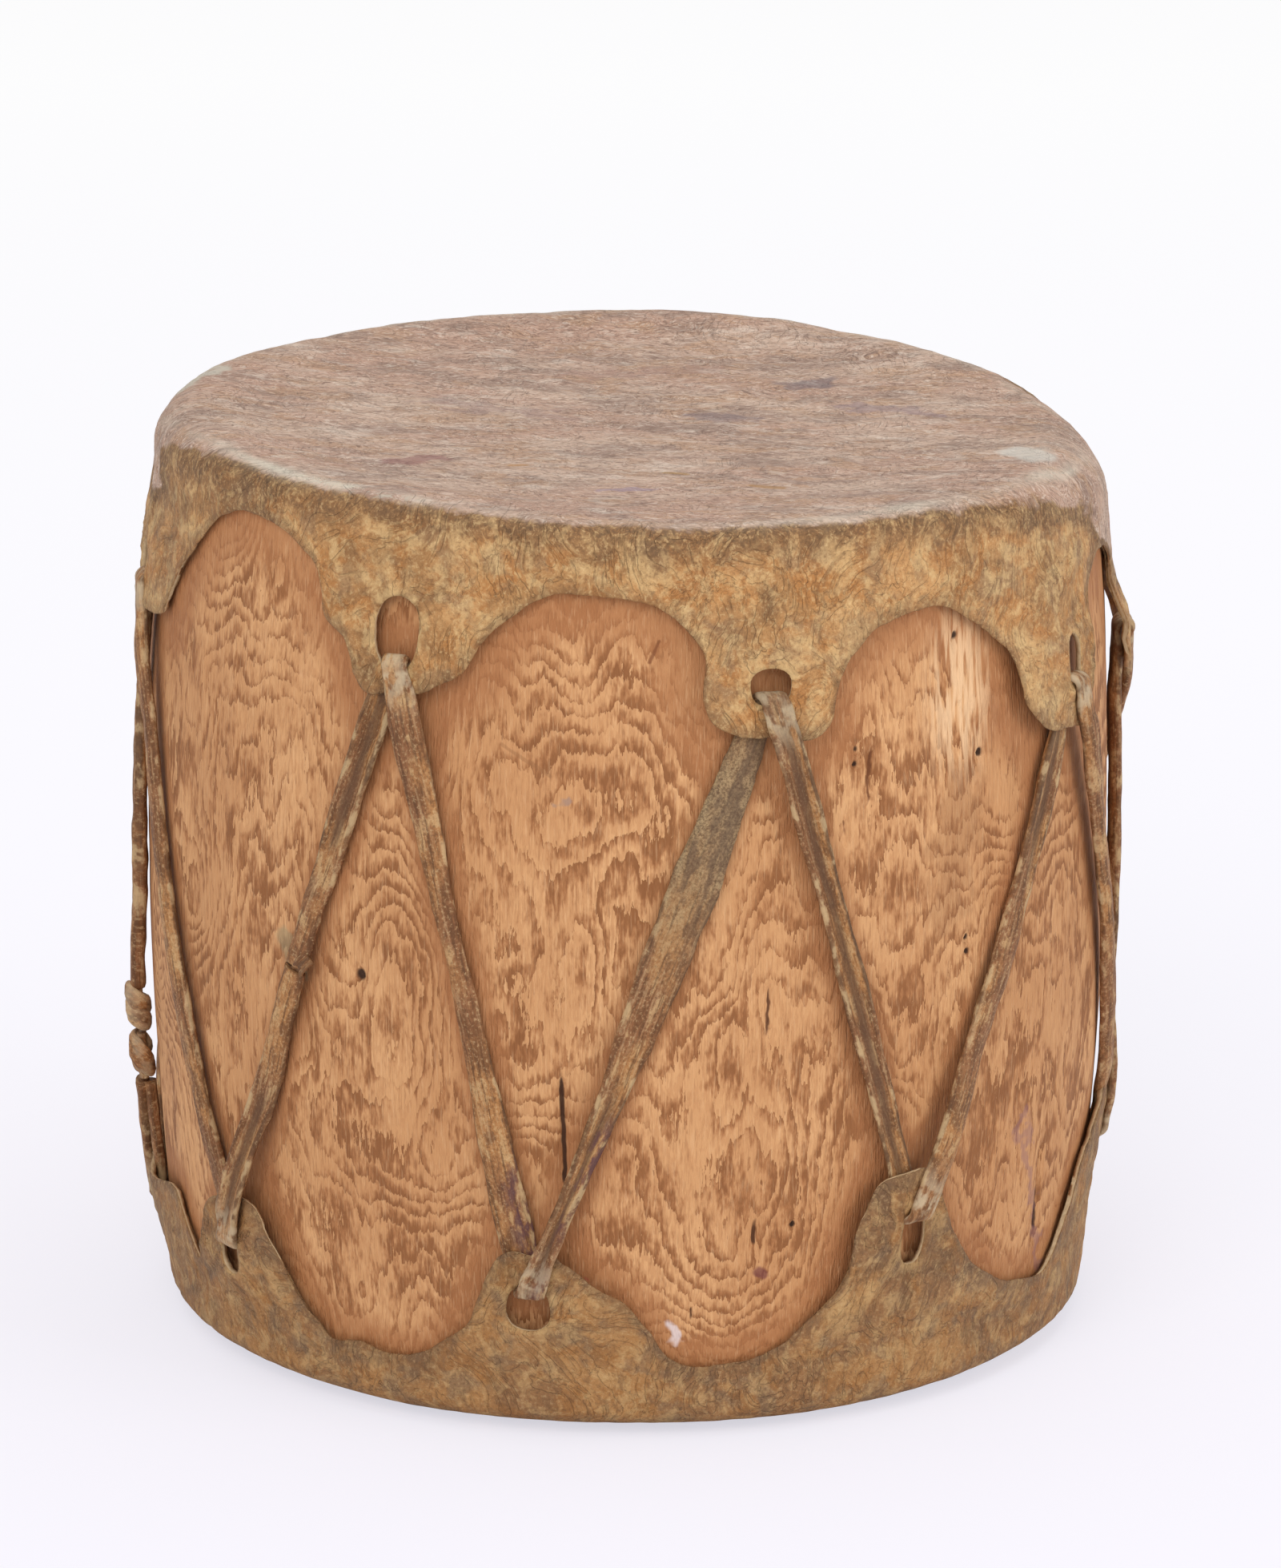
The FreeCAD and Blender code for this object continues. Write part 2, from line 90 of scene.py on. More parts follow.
# Scallop after each tab, as angles and shares of the skirt
TOP_ARCHES = [
    ((-70.6, .62), (-69.5, .575), (-66.8, .465), (-63.5, .37), (-60.3, .262), (-57.3, .182), (-53.4, .121),
     (-49.2, .114), (-44.8, .138), (-40.6, .201), (-38.6, .251), (-37.6, .34), (-36.6, .42), (-33.9, .479),
     (-32.7, .545)),
    ((-21.2, .603), (-18.8, .557), (-17.5, .503), (-16.3, .432), (-14.5, .369), (-12.6, .322), (-8.3, .253),
     (-5.3, .247), (-2.3, .251), (1.0, .265), (3.8, .299), (5.8, .344), (7.6, .404), (8.8, .49), (8.2, .6),
     (9.0, .7)),
    ((23.2, .72), (23.9, .638), (24.5, .56), (27.1, .466), (29.3, .421), (31.6, .395), (35.6, .374),
     (39.1, .385), (41.2, .416), (43.8, .466), (46.9, .541), (49.3, .612), (50.3, .7), (50.8, .79),
     (52.4, .872)),
    ((67.0, .80), (68.6, .52), (74.0, .41), (80.5, .44), (84.5, .72)),
    ((102.0, .72), (109.5, .37), (119.0, .26), (128.5, .34), (135.0, .56)),
    ((153.5, .52), (158.5, .31), (165.5, .24), (173.0, .33), (178.5, .58)),
    ((195.0, .58), (200.0, .35), (208.0, .27), (215.5, .31), (220.5, .52)),
    ((239.0, .50), (244.0, .30), (252.0, .23), (260.5, .30), (266.5, .50)),
]
BOTTOM_ARCHES = [
    ((-72.5, .58), (-69.3, .542), (-68.0, .48), (-65.7, .422), (-63.6, .372), (-61.7, .44), (-60.2, .536),
     (-58.8, .601)),
    ((-47.2, .715), (-46.2, .64), (-45.1, .567), (-43.7, .51), (-42.7, .431), (-41.4, .376), (-38.9, .303),
     (-37.4, .268), (-34.6, .28), (-30.3, .27), (-27.7, .269), (-25.1, .289), (-22.6, .337), (-20.2, .394),
     (-18.5, .443), (-17.2, .53), (-16.4, .6), (-15.5, .675)),
    ((-6.6, .71), (-5.0, .664), (-3.1, .615), (-1.3, .59), (.2, .552), (1.7, .488), (3.2, .422), (4.1, .357),
     (5.5, .317), (7.8, .291), (11.2, .295), (16.3, .314), (18.2, .341), (20.2, .386), (22.1, .443),
     (24.1, .512), (25.7, .57), (26.6, .654), (27.3, .769), (28.6, .885)),
    ((38.8, .887), (39.6, .815), (40.8, .742), (42.1, .669), (43.9, .59), (46.4, .512), (49.7, .439),
     (52.6, .4), (56.9, .365), (60.2, .346), (62.8, .362), (65.4, .43), (67.4, .508), (69.6, .6), (73.0, .71),
     (77.0, .80)),
    ((95.0, .62), (100.0, .37), (107.5, .30), (114.0, .38), (118.5, .60)),
    ((136.5, .58), (141.5, .36), (149.0, .29), (156.5, .37), (161.0, .62)),
    ((179.5, .62), (184.5, .38), (191.5, .32), (198.5, .35), (203.5, .54)),
    ((221.0, .54), (226.5, .36), (236.0, .28), (247.5, .29), (257.0, .38)),
]

# Grid of a hide: points round it, rows down its skirt and points round its middle. What
# lies above the skirt counts as this far from its cut edge and from a hole, and the lower
# hide is at least this high
HEAD_COLUMNS = 640
HEAD_ROWS = 36
MIDDLE_COLUMNS = 80
FAR_FROM_EDGE = 60.0
FAR_FROM_HOLE = 9.0
LOWEST = .12

# Radius of the lace's fold over a hole's lip, and points round the lace's section
FOLD = 2.35
SECTION = 18

# Lace on each run between two holes, in lacing order. Each entry is (share of the run,
# width, curl, thickness, sideways shift): the curl is how far round the strip bends, in
# radians, with its edges towards the wood, or away from it where it is negative. The tail,
# and the runs that start and end at the knots, have their own.
RUNS = [
    [(0, 9.9, 1.0, 2.9, 0), (.2, 9.5, 1.3, 2.9, .4), (.6, 9.2, 1.5, 3, -.4), (1, 9.9, 1.2, 2.9, 0)],
    [(0, 11.6, -1.9, 2.5, 0), (.2, 11, -2.2, 2.5, .5), (.36, 9, 1.0, 3.2, .6),
     (.58, 8.4, 2.2, 3.4, 0), (.72, 9.9, -1.6, 2.7, 0), (1, 11, -2.6, 2.5, 0)],
    [(0, 11.4, .7, 2.4, 0), (.16, 10.8, .9, 2.4, -.3), (.34, 7.6, 1.9, 2.8, -.5),
     (.46, 6.4, 2.6, 3.2, .6), (.6, 8.8, 1.0, 2.6, .8), (.78, 11, .8, 2.5, 0), (.93, 12, .7, 2.5, 0),
     (1, 10.6, .9, 2.5, 0)],
    [(0, 6.8, -2.4, 2.8, 0), (.2, 7, -2.2, 2.8, .3), (.34, 9.2, -1.2, 2.6, .6), (.5, 13, .3, 2.2, .2),
     (.7, 15.4, .5, 2.1, 0), (.88, 12.6, .8, 2.4, -.3), (1, 9.4, 1.2, 2.6, 0)],
    [(0, 9.1, -1.6, 2.5, 0), (.3, 9.8, -2.1, 2.4, .2), (.7, 9.5, -2.1, 2.4, -.3), (1, 9.5, -1.8, 2.4, 0)],
    [(0, 9.9, .6, 2.6, 0), (.3, 9.9, .9, 2.7, .3), (.5, 9.4, 1.2, 2.9, .8),
     (.6, 8.7, -.8, 2.9, .6), (.8, 10.3, -1.9, 2.5, 0), (1, 10.3, -2.0, 2.5, 0)],
    [(0, 9.7, 1.8, 3.1, 0), (.4, 9.4, 2.4, 3.3, .4), (.8, 9.4, 2.1, 3.3, -.3), (1, 9.9, 1.6, 2.9, 0)],
    [(0, 9.2, -1.6, 3.4, 0), (.35, 9, -2.1, 3.2, .4), (.7, 9.2, -2.0, 3.2, 0), (1, 9.5, -1.6, 3.4, 0)],
    [(0, 9.5, 1.2, 3.4, 0), (.5, 8.8, 2.0, 3.6, .6), (1, 9.5, .8, 3.4, 0)],
    [(0, 9, -1.4, 2.6, 0), (.45, 8.6, -2.0, 2.5, -.5), (1, 9, -1.0, 2.6, 0)],
    [(0, 9.4, .8, 2.5, 0), (.5, 9.8, 1.0, 2.5, .5), (1, 9, 1.2, 2.6, 0)],
    [(0, 9, 1.6, 2.7, 0), (.4, 8.2, 2.3, 2.9, 0), (1, 8.8, 1.2, 2.6, 0)],
    [(0, 9, -1.6, 2.5, 0), (.5, 9, -2.0, 2.4, .6), (1, 9, -1.4, 2.5, 0)],
    [(0, 9.9, .8, 3, 0), (.55, 10.6, -.8, 3, -.5), (1, 9.9, -1.4, 3, 0)],
    [(0, 10.1, 1.0, 3.4, 0), (.5, 9.2, 1.8, 3.6, .4), (1, 9.7, 1.0, 3.4, 0)],
]
TAIL_RUN = [(0, 6.4, 1.0, 4.0, 0), (1, 6.4, .8, 3.4, 0)]
KNOT_RUN = [(0, 6.2, .8, 4.8, 0), (.4, 6.8, -1.0, 4.6, 0), (1, 8, -1.2, 3.4, 0)]
EXIT_RUN = [(0, 8, .8, 3.4, 0), (1, 6.2, 1.0, 4.6, 0)]

# Stains on the second lace (millimetres along it, side, reach), and where its hairy part is
# (millimetres along it, reach each way)
LACE_STAINS = [(290, -.7, 22), (350, -.6, 16)]
HAIRY_PART = (470, 70)

# Worn rims: how high the struck head's crest stands over its plane, and how far its
# rounding reaches, by angle
CREST = [(-90, 1.5), (-60, 2.0), (-27, 2.0), (-16, 1.2), (-8, .6), (10, 0), (26, .8), (38, 1.6),
         (60, .4), (75, -.5), (90, -1.0), (107, -1.0), (124, .8), (142, 2.2), (151, 2.1), (158, 3.4),
         (170, 4.0), (182, 3.3), (195, 1.9), (209, 1.4), (225, 0), (245, 1.0), (270, 1.5)]
ROUNDING = [(-90, 14), (-65, 9.5), (-45, 7), (0, 6.4), (40, 7), (60, 11), (76, 17), (90, 22), (107, 20),
            (124, 15), (150, 12), (225, 12), (270, 14)]

# How far past the crest the colour of the struck face reaches, in mm, and how pale the
# crest is, by angle: partly rubbed off, partly a painted highlight
FACE_LIMIT = [(-98, 30), (-90, 35), (-84, 31), (-78, 22), (-66, 9), (-50, 4), (-20, 3.5), (20, 3.5),
              (45, 5), (62, 12), (76, 28), (84, 39), (92, 43), (99, 33), (107, 18), (125, 9), (180, 7),
              (225, 8), (248, 14), (262, 30)]
CREST_WEAR_AND_HIGHLIGHT = [(-120, .4), (-103, .5), (-90, .25), (-72, .35), (-60, .45), (-52, .9), (-30, 1), (-24, .3),
        (-10, .1), (14, .2), (26, .45), (36, .6), (44, .2), (56, .3), (66, .8), (76, .6), (88, .2),
        (150, .4), (165, .7), (200, .4), (240, .4)]

# Knots and the joint of the two laces
UPPER_KNOT = (-86.0, 86.2, 101.0)
LOWER_KNOT = (-86.5, 69.0, 85.9)
SPLICE_LEVEL = 140.0
TAIL_FOOT = (-87.0, 34.0)

# Wound knots: name, the node, angle, foot, top, turns, tilt, seed, reach (round, off the
# wood, and of the middle) and start of the winding
KNOTS = [
    ("upper_knot_wraps", "upper_knot", *UPPER_KNOT, 1.9, 1.2, 8, (4.2, 2.6, 4.9), 2.4),
    ("lower_knot_wraps", "lower_knot", *LOWER_KNOT, 1.6, 2.4, 9, (3.8, 2.5, 4.7), .6),
]

# Growth rings: height of one ring on the side, and bulges (angle, height, amount, reach
# round, reach up) that turn the wavy bands into closed swirls and arches
RING_STEP = 7.0
RING_BULGES = [
    (-26.4, 84.0, 44.0, 17.0, 20.0), (11.8, 58.0, 46.0, 26.0, 24.0), (-38.0, 118.0, -22.0, 14.0, 22.0),
    (-8.0, 200.0, -26.0, 20.0, 22.0), (8.0, 232.0, 22.0, 16.0, 14.0), (28.0, 200.0, 26.0, 17.0, 30.0),
    (-62.0, 196.0, 30.0, 17.0, 26.0), (-52.0, 150.0, -20.0, 14.0, 26.0), (-6.0, 150.0, -30.0, 16.0, 22.0),
    (18.0, 128.0, -22.0, 18.0, 26.0), (40.0, 150.0, 26.0, 16.0, 36.0), (-40.0, 48.0, 20.0, 20.0, 16.0),
    (58.0, 60.0, 22.0, 14.0, 24.0), (70.0, 130.0, 22.0, 18.0, 34.0), (150.0, 150.0, 34.0, 30.0, 34.0),
    (205.0, 110.0, 34.0, 26.0, 30.0), (120.0, 90.0, -30.0, 26.0, 34.0), (240.0, 160.0, 30.0, 26.0, 34.0),
]

# Patch of torn fibres (angle, height, reach round, reach up)
TORN_PATCH = (42.0, 224.0, 13.0, 25.0)
# Beetle holes (angle, height, radius), each painted dark as the shade inside it
BEETLE_HOLES = [(-32.0, 140.5, 1.5), (41.7, 241.4, .8), (27.1, 215.3, .6), (27.1, 212.6, .6),
                (27.0, 208.1, .7), (45.4, 204.2, .9), (43.1, 148.2, .7), (43.3, 143.5, .8),
                (20.1, 66.5, .7), (152.0, 120.0, .9), (214.0, 190.0, .8)]

# Cracks, and stains and scratches on the wood: the line's two ends (angle, height), half
# width, how much it wanders, colour and strength
# The cracks' dark colours are painted shade inside them; the last row is a red mark on the wood
CRACKS = [
    ((-7.4, 117.0), (-6.9, 81.0), .5, 1.2, "#3A2012", .95),
    ((16.6, 146.0), (16.2, 126.0), .45, 2.2, "#5A3420", .9),
    ((15.6, 72.0), (15.2, 58.0), .45, 1.0, "#4A2A18", .9),
    ((59.2, 72.0), (61.6, 35.0), .6, 1.6, "#42281E", .95),
    ((23.4, 78.0), (23.6, 70.0), .4, 1.0, "#4A2A18", .9),
    ((8.0, 44.0), (8.0, 36.0), .4, 1.0, "#4A2A18", .9),
    ((29.5, 214.0), (28.5, 196.0), .45, 2.6, "#6A3C22", .8),
    ((25.0, 196.0), (26.5, 182.0), .45, 2.4, "#6A3C22", .8),
    ((140.0, 110.0), (141.0, 60.0), .5, 2.0, "#3A2012", .9),
    ((232.0, 210.0), (231.0, 160.0), .5, 2.0, "#3A2012", .9),
    ((-5.6, 53.8), (-3.2, 48.6), .55, .4, "#BF4248", .85),
]
STAINS = [
    ((54.6, 84.0), (62.6, 30.0), 2.6, 9.0, "#86606A", .42),
    ((5.0, 36.0), (6.6, 31.4), 1.8, 5.0, "#E3D3D2", .8),
    ((-43.0, 146.0), (-41.5, 138.0), 3.4, 5.0, "#8B8668", .5),
    ((-8.4, 199.6), (-6.6, 201.6), .8, 3.0, "#8E7C78", .55),
    ((-14.4, 216.7), (-8.8, 207.9), .5, .8, "#9A6A44", .5),
    ((15.8, 52.6), (16.4, 52.0), 2.0, 2.6, "#71383A", .75),
    ((3.5, 248.5), (2.6, 242.5), .5, 1.0, "#7A4628", .75),
    ((42.0, 192.0), (40.0, 160.0), 10.0, 12.0, "#8E5E3A", .36),
]

# Spots on the struck face: two ends (x, y), half width, wander, colour and strength
FACE_MARKS = [
    ((-70, -68), (-60, -58), 5.0, 10.0, "#8F5C58", .6), ((50, 56), (62, 62), 6.0, 11.0, "#6C6068", .55),
    ((22, 14), (38, 12), 5.5, 10.0, "#7F7074", .5), ((-36, -64), (-32, -63), 1.8, 4.0, "#B07F4A", .7),
    ((12, -66), (17, -67), 1.8, 3.0, "#A9803E", .6), ((38, -82), (46, -84), 2.0, 3.0, "#AA7C44", .7),
    ((-12, -96), (8, -92), 2.0, 8.0, "#8D7C93", .5), ((120, -30), (126, -38), 8.0, 8.0, "#D3CEC3", .7),
    ((-139, 22), (-128, 44), 5.0, 8.0, "#CFC9B8", .7), ((70, 30), (96, 24), 5.0, 12.0, "#8F7A80", .5),
    ((-20, 62), (24, 76), 6.0, 14.0, "#A48173", .5), ((-60, 20), (-20, 10), 6.0, 16.0, "#A1837A", .5),
]

# Colours of the hides
STRUCK_FACE = {"base": "#CAAC97", "warm": "#BE9984", "grey": "#A08474", "ochre": "#BB9374",
               "fibre": "#71574A", "pale": "#E6D6C6"}
STRUCK_SKIRT = {"base": "#C6925C", "brown": "#B28250", "cream": "#DFBB84", "gold": "#B5783E",
                "grey": "#977452", "dark": "#785535", "hair": "#6C4C30", "fleck": "#EACB96"}
LOWER_FACE = {"base": "#7A5848", "warm": "#6A4A3E", "grey": "#86684E", "ochre": "#8F6E50",
              "fibre": "#5A4034", "pale": "#A0805E"}
LOWER_SKIRT = {"base": "#AD7D4B", "brown": "#946A43", "cream": "#C8A26E", "gold": "#A06C38",
               "grey": "#82684E", "dark": "#6E5036", "hair": "#62462E", "fleck": "#D0AF80"}

# Stage: half the floor's side in metres, its glow's reach back and strength, and the share
# of it that the camera sees; light from all round; the soft boxes, in metres and watts,
# where the front one's power is a setting; and the camera's sensor, shift and turns
FLOOR_HALF = 6.0
GLOW_REACH = (-.25, 2.05)
GLOW_STRENGTH = 1.13
GLOW_SHARE = .66
WORLD_STRENGTH = .62
SOFT_BOXES = [
    ("soft_box_front", None, (1.6, 1.6), (-.7, -2.2, 2.0), (0, 0, .15)),
    ("soft_box_right", 13.0, (1.2, 1.4), (2.0, -1.0, 1.0), (0, 0, .14)),
    ("soft_box_top", 10.5, (1.8, 1.8), (.2, .1, 2.2), (0, 0, .2)),
]
SENSOR = 36.0
CAMERA_SIDE = 4.657
CAMERA_TURNS = [(.0003, "Z"), (math.radians(74.25), "X"), (.006, "Z")]


# Numbers

def linear(code):
    """A colour as written on the web, turned into the linear values that light needs."""
    parts = [int(code[i:i + 2], 16) / 255 for i in (1, 3, 5)]
    return tuple(p / 12.92 if p <= .04045 else ((p + .055) / 1.055) ** 2.4 for p in parts) + (1.0,)


def ease(x):
    """0 below 0, 1 above 1, and a level start and finish between: 3x^2 - 2x^3."""
    x = np.clip(x, 0, 1)
    return x * x * (3 - 2 * x)


def noise(at, seed):
    """Smooth random field, -1 to 1. Each corner of a unit cell gets a value from a whole-number
    mix of its place, and they are blended with 6t^5 - 15t^4 + 10t^3."""
    at = np.asarray(at, dtype=float)
    cell = np.floor(at).astype(np.int64)
    blend = at - cell
    blend = blend ** 3 * (blend * (blend * 6 - 15) + 10)
    total = 0
    for corner in range(8):
        step = np.array([corner & 1, corner >> 1 & 1, corner >> 2 & 1])
        place = cell + step
        mixed = (place[..., 0] * 374761393 + place[..., 1] * 668265263
                 + place[..., 2] * 1442695041 + seed * 974634777) & 0xffffffff
        mixed = ((mixed ^ (mixed >> 13)) * 1274126177) & 0xffffffff
        mixed ^= mixed >> 16
        total = total + np.prod(np.where(step, blend, 1 - blend), axis=-1) * (mixed / 2147483647.5 - 1)
    return total


def rough(at, seed, octaves=3):
    """Sum of noise fields, each twice as fine and half as strong as the one before."""
    return sum(noise(np.asarray(at) * 2 ** k, seed + k) / 2 ** k for k in range(octaves))


def short_way(place, centre, whole=360):
    """Signed way from a centre to a place, whichever way round is the shorter."""
    return (place - centre + whole / 2) % whole - whole / 2


def by_angle(table, angle):
    """Value at an angle, from a table that starts and ends with the same direction."""
    places, values = zip(*table)
    return np.interp((angle - places[0]) % 360 + places[0], places, values)


def arc_through(a, b, c):
    """Centre and radius of the circle through three (radius, height) points."""
    d = 2 * (a[0] * (b[1] - c[1]) + b[0] * (c[1] - a[1]) + c[0] * (a[1] - b[1]))
    sa, sb, sc = (p[0] ** 2 + p[1] ** 2 for p in (a, b, c))
    x = (sa * (b[1] - c[1]) + sb * (c[1] - a[1]) + sc * (a[1] - b[1])) / d
    y = (sa * (c[0] - b[0]) + sb * (a[0] - c[0]) + sc * (b[0] - a[0])) / d
    return x, y, math.hypot(a[0] - x, a[1] - y)


SIDE_CENTRE, SIDE_LEVEL, SIDE_RADIUS = arc_through(
    (FOOT_RADIUS, 0), (MIDDLE_RADIUS, HEIGHT / 2), (TOP_RADIUS, HEIGHT))


def wood_radius(z):
    return SIDE_CENTRE + np.sqrt(SIDE_RADIUS ** 2 - (z - SIDE_LEVEL) ** 2)


def round_drum(angle, radius, z):
    """Points at an angle in degrees, a radius and a height, as an array of x, y, z."""
    t = np.radians(angle)
    return np.stack(np.broadcast_arrays(radius * np.sin(t), -radius * np.cos(t), z), axis=-1)


def off_wood(angle, z):
    """Unit vectors square to the log's side."""
    rise = (z - SIDE_LEVEL) / np.sqrt(SIDE_RADIUS ** 2 - (z - SIDE_LEVEL) ** 2)
    out = round_drum(angle, 1.0, rise)
    return out / np.linalg.norm(out, axis=-1, keepdims=True)


def top_level(x):
    """Height of the sloping upper end at x."""
    return HEIGHT - TOP_SLOPE * x


def spline(knots, at):
    """Natural cubic curve through knots, spaced by chord, at shares 0 to 1 of its run."""
    knots = np.asarray(knots, dtype=float)
    chord = np.linalg.norm(np.diff(knots, axis=0), axis=1)
    t = np.concatenate([[0], np.cumsum(chord)]) / chord.sum()
    h = np.diff(t)
    n = len(t)
    rows = np.eye(n)
    right = np.zeros_like(knots)
    slope = np.diff(knots, axis=0) / h[:, None]
    for i in range(1, n - 1):
        rows[i, i - 1:i + 2] = h[i - 1], 2 * (h[i - 1] + h[i]), h[i]
        right[i] = 6 * (slope[i] - slope[i - 1])
    bend = np.linalg.solve(rows, right)
    k = np.clip(np.searchsorted(t, at, side="right") - 1, 0, n - 2)
    a, b = (at - t[k])[:, None], (t[k + 1] - at)[:, None]
    step = h[k][:, None]
    return ((bend[k] * b ** 3 + bend[k + 1] * a ** 3) / (6 * step)
            + (knots[k] / step - bend[k] * step / 6) * b + (knots[k + 1] / step - bend[k + 1] * step / 6) * a)


# Meshes

def mesh_object(name, verts, faces, layers=None):
    """Object from points in millimetres and a list of face arrays, smooth, with one float
    attribute per entry of layers."""
    data = bpy.data.meshes.new(name)
    counts = np.concatenate([np.full(len(f), f.shape[1]) for f in faces])
    loops = np.concatenate([f.ravel() for f in faces])
    data.vertices.add(len(verts))
    data.vertices.foreach_set("co", (np.asarray(verts) * MM).astype(np.float32).ravel())
    data.loops.add(len(loops))
    data.loops.foreach_set("vertex_index", loops.astype(np.int32))
    data.polygons.add(len(counts))
    data.polygons.foreach_set("loop_start", (np.cumsum(counts) - counts).astype(np.int32))
    data.polygons.foreach_set("loop_total", counts.astype(np.int32))
    data.update(calc_edges=True)
    data.validate()
    for key, values in (layers or {}).items():
        layer = data.attributes.new(key, "FLOAT", "POINT")
        layer.data.foreach_set("value", np.asarray(values, dtype=np.float32).ravel())
    data.shade_smooth()
    obj = bpy.data.objects.new(name, data)
    bpy.context.scene.collection.objects.link(obj)
    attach(obj, "root")
    return obj


def grid_faces(rows, columns, close_rows=False):
    """Quads of a grid whose columns go once round, numbered row by row."""
    i = np.arange(rows if close_rows else rows - 1)[:, None]
    j = np.arange(columns)[None, :]
    down, right = (i + 1) % rows, (j + 1) % columns
    quads = [i * columns + j, i * columns + right, down * columns + right, down * columns + j]
    return np.stack(np.broadcast_arrays(*quads), axis=-1).reshape(-1, 4)


def nearest(points, line):
    """Distance from each (round, up) point to the nearest of a line's points, whichever way
    round the drum is the shorter."""
    best = np.full(len(points), 1e9)
    for chunk in np.array_split(line, max(1, len(line) // 60)):
        du = np.abs(points[:, None, 0] - chunk[None, :, 0]) % GIRTH
        du = np.minimum(du, GIRTH - du)
        best = np.minimum(best, np.min(du ** 2 + (points[:, None, 1] - chunk[None, :, 1]) ** 2, axis=1))
    return np.sqrt(best)


# The two ends

class End:
    """One end of the drum, its hide's tabs and scallops, and the way into the drum."""

    def __init__(self, name, into, tabs, arches, dish, face_limit, worn, seed):
        self.name = name
        self.into = into
        self.tabs = tabs
        self.arches = arches
        self.dish = dish
        self.face_limit = face_limit
        self.worn = worn
        self.seed = seed
        self.base = HEIGHT if into < 0 else 0.0

    def level(self, depth):
        return self.base + self.into * depth

    def plane(self, x):
        return top_level(x) if self.into < 0 else np.zeros_like(x)

    def crest(self, angle):
        """Height of the rim over the end's plane."""
        if self.into < 0:
            return by_angle(CREST, angle)
        return -.3 - .2 * noise(round_drum(angle, 2.4, 0), self.seed + 40)

    def rounding(self, angle):
        """Reach of the rim's rounding, across and up."""
        if self.into < 0:
            return by_angle(ROUNDING, angle), by_angle(ROUNDING, angle)
        return 22 + 3 * noise(round_drum(angle, 2, 0), self.seed + 41), 9.2 + 0 * angle

    def outline(self):
        """The skirt's cut edge once round, as angle and depth."""
        loops = []
        for i, left in enumerate(self.tabs):
            right = self.tabs[(i + 1) % len(self.tabs)]
            turn = 360 if i + 1 == len(self.tabs) else 0
            first = np.mean([left[0], left[1]], axis=0)
            last = np.mean([right[0], right[1]], axis=0) + [turn, 0]
            knots = [first, left[1], *self.arches[i], (right[0][0] + turn, right[0][1]), last]
            knots = np.array(knots) * [PER_DEGREE, SKIRT]
            loops.append(spline(knots, np.linspace(0, 1, 300, endpoint=False)))
        edge = np.concatenate(loops)
        at = np.column_stack([edge / 13, np.zeros(len(edge))])
        wander = np.column_stack([rough(at, self.seed, 2), rough(at, self.seed + 7, 2)])
        nicks = np.column_stack([rough(at * 5, self.seed + 14, 2), rough(at * 5, self.seed + 21, 2)])
        edge = edge + wander * .6 + nicks * .22
        return np.column_stack([edge[:, 0] / PER_DEGREE, edge[:, 1]])

    def stand_off(self, angle, depth):
        """How far the skirt is lifted off the wood: each tab rises towards its tip."""
        lift = np.zeros(np.broadcast(angle, depth).shape)
        for (a1, d1), (a2, d2), _, (rise, start, full, wide) in self.tabs:
            side = ease(1.55 - np.abs(short_way(angle, (a1 + a2) / 2)) / wide)
            tip = (d1 + d2) / 2 * SKIRT
            lift = np.maximum(lift, rise * side * ease((depth / tip - start) / (full - start)))
        return lift


TOP = End("top_head", -1, TOP_TABS, TOP_ARCHES, 3.6, FACE_LIMIT, CREST_WEAR_AND_HIGHLIGHT, 11)
BOTTOM = End("bottom_head", 1, BOTTOM_TABS, BOTTOM_ARCHES, 2.0, [(0, 7), (360, 7)], [(0, 0), (360, 0)], 29)


def settled(u, v, rounds=140):
    """A grid whose lines keep apart: its inner points move until they satisfy the elliptic
    grid equations, with the first and last rows fixed and the columns going once round."""
    for _ in range(rounds):
        east, west = np.roll(u, -1, 1), np.roll(u, 1, 1)
        east[:, -1] += GIRTH
        west[:, 0] -= GIRTH
        ve, vw = np.roll(v, -1, 1), np.roll(v, 1, 1)
        ux, vx = (east - west)[1:-1] / 2, (ve - vw)[1:-1] / 2
        uy, vy = (u[2:] - u[:-2]) / 2, (v[2:] - v[:-2]) / 2
        a, c = uy ** 2 + vy ** 2, ux ** 2 + vx ** 2
        b = ux * uy + vx * vy
        cross_u = (east[2:] - east[:-2] - west[2:] + west[:-2]) / 4
        cross_v = (ve[2:] - ve[:-2] - vw[2:] + vw[:-2]) / 4
        whole = 2 * (a + c) + 1e-9
        u[1:-1] += .9 * ((a * (east + west)[1:-1] + c * (u[2:] + u[:-2]) - 2 * b * cross_u) / whole - u[1:-1])
        v[1:-1] += .9 * ((a * (ve + vw)[1:-1] + c * (v[2:] + v[:-2]) - 2 * b * cross_v) / whole - v[1:-1])
    return u, v


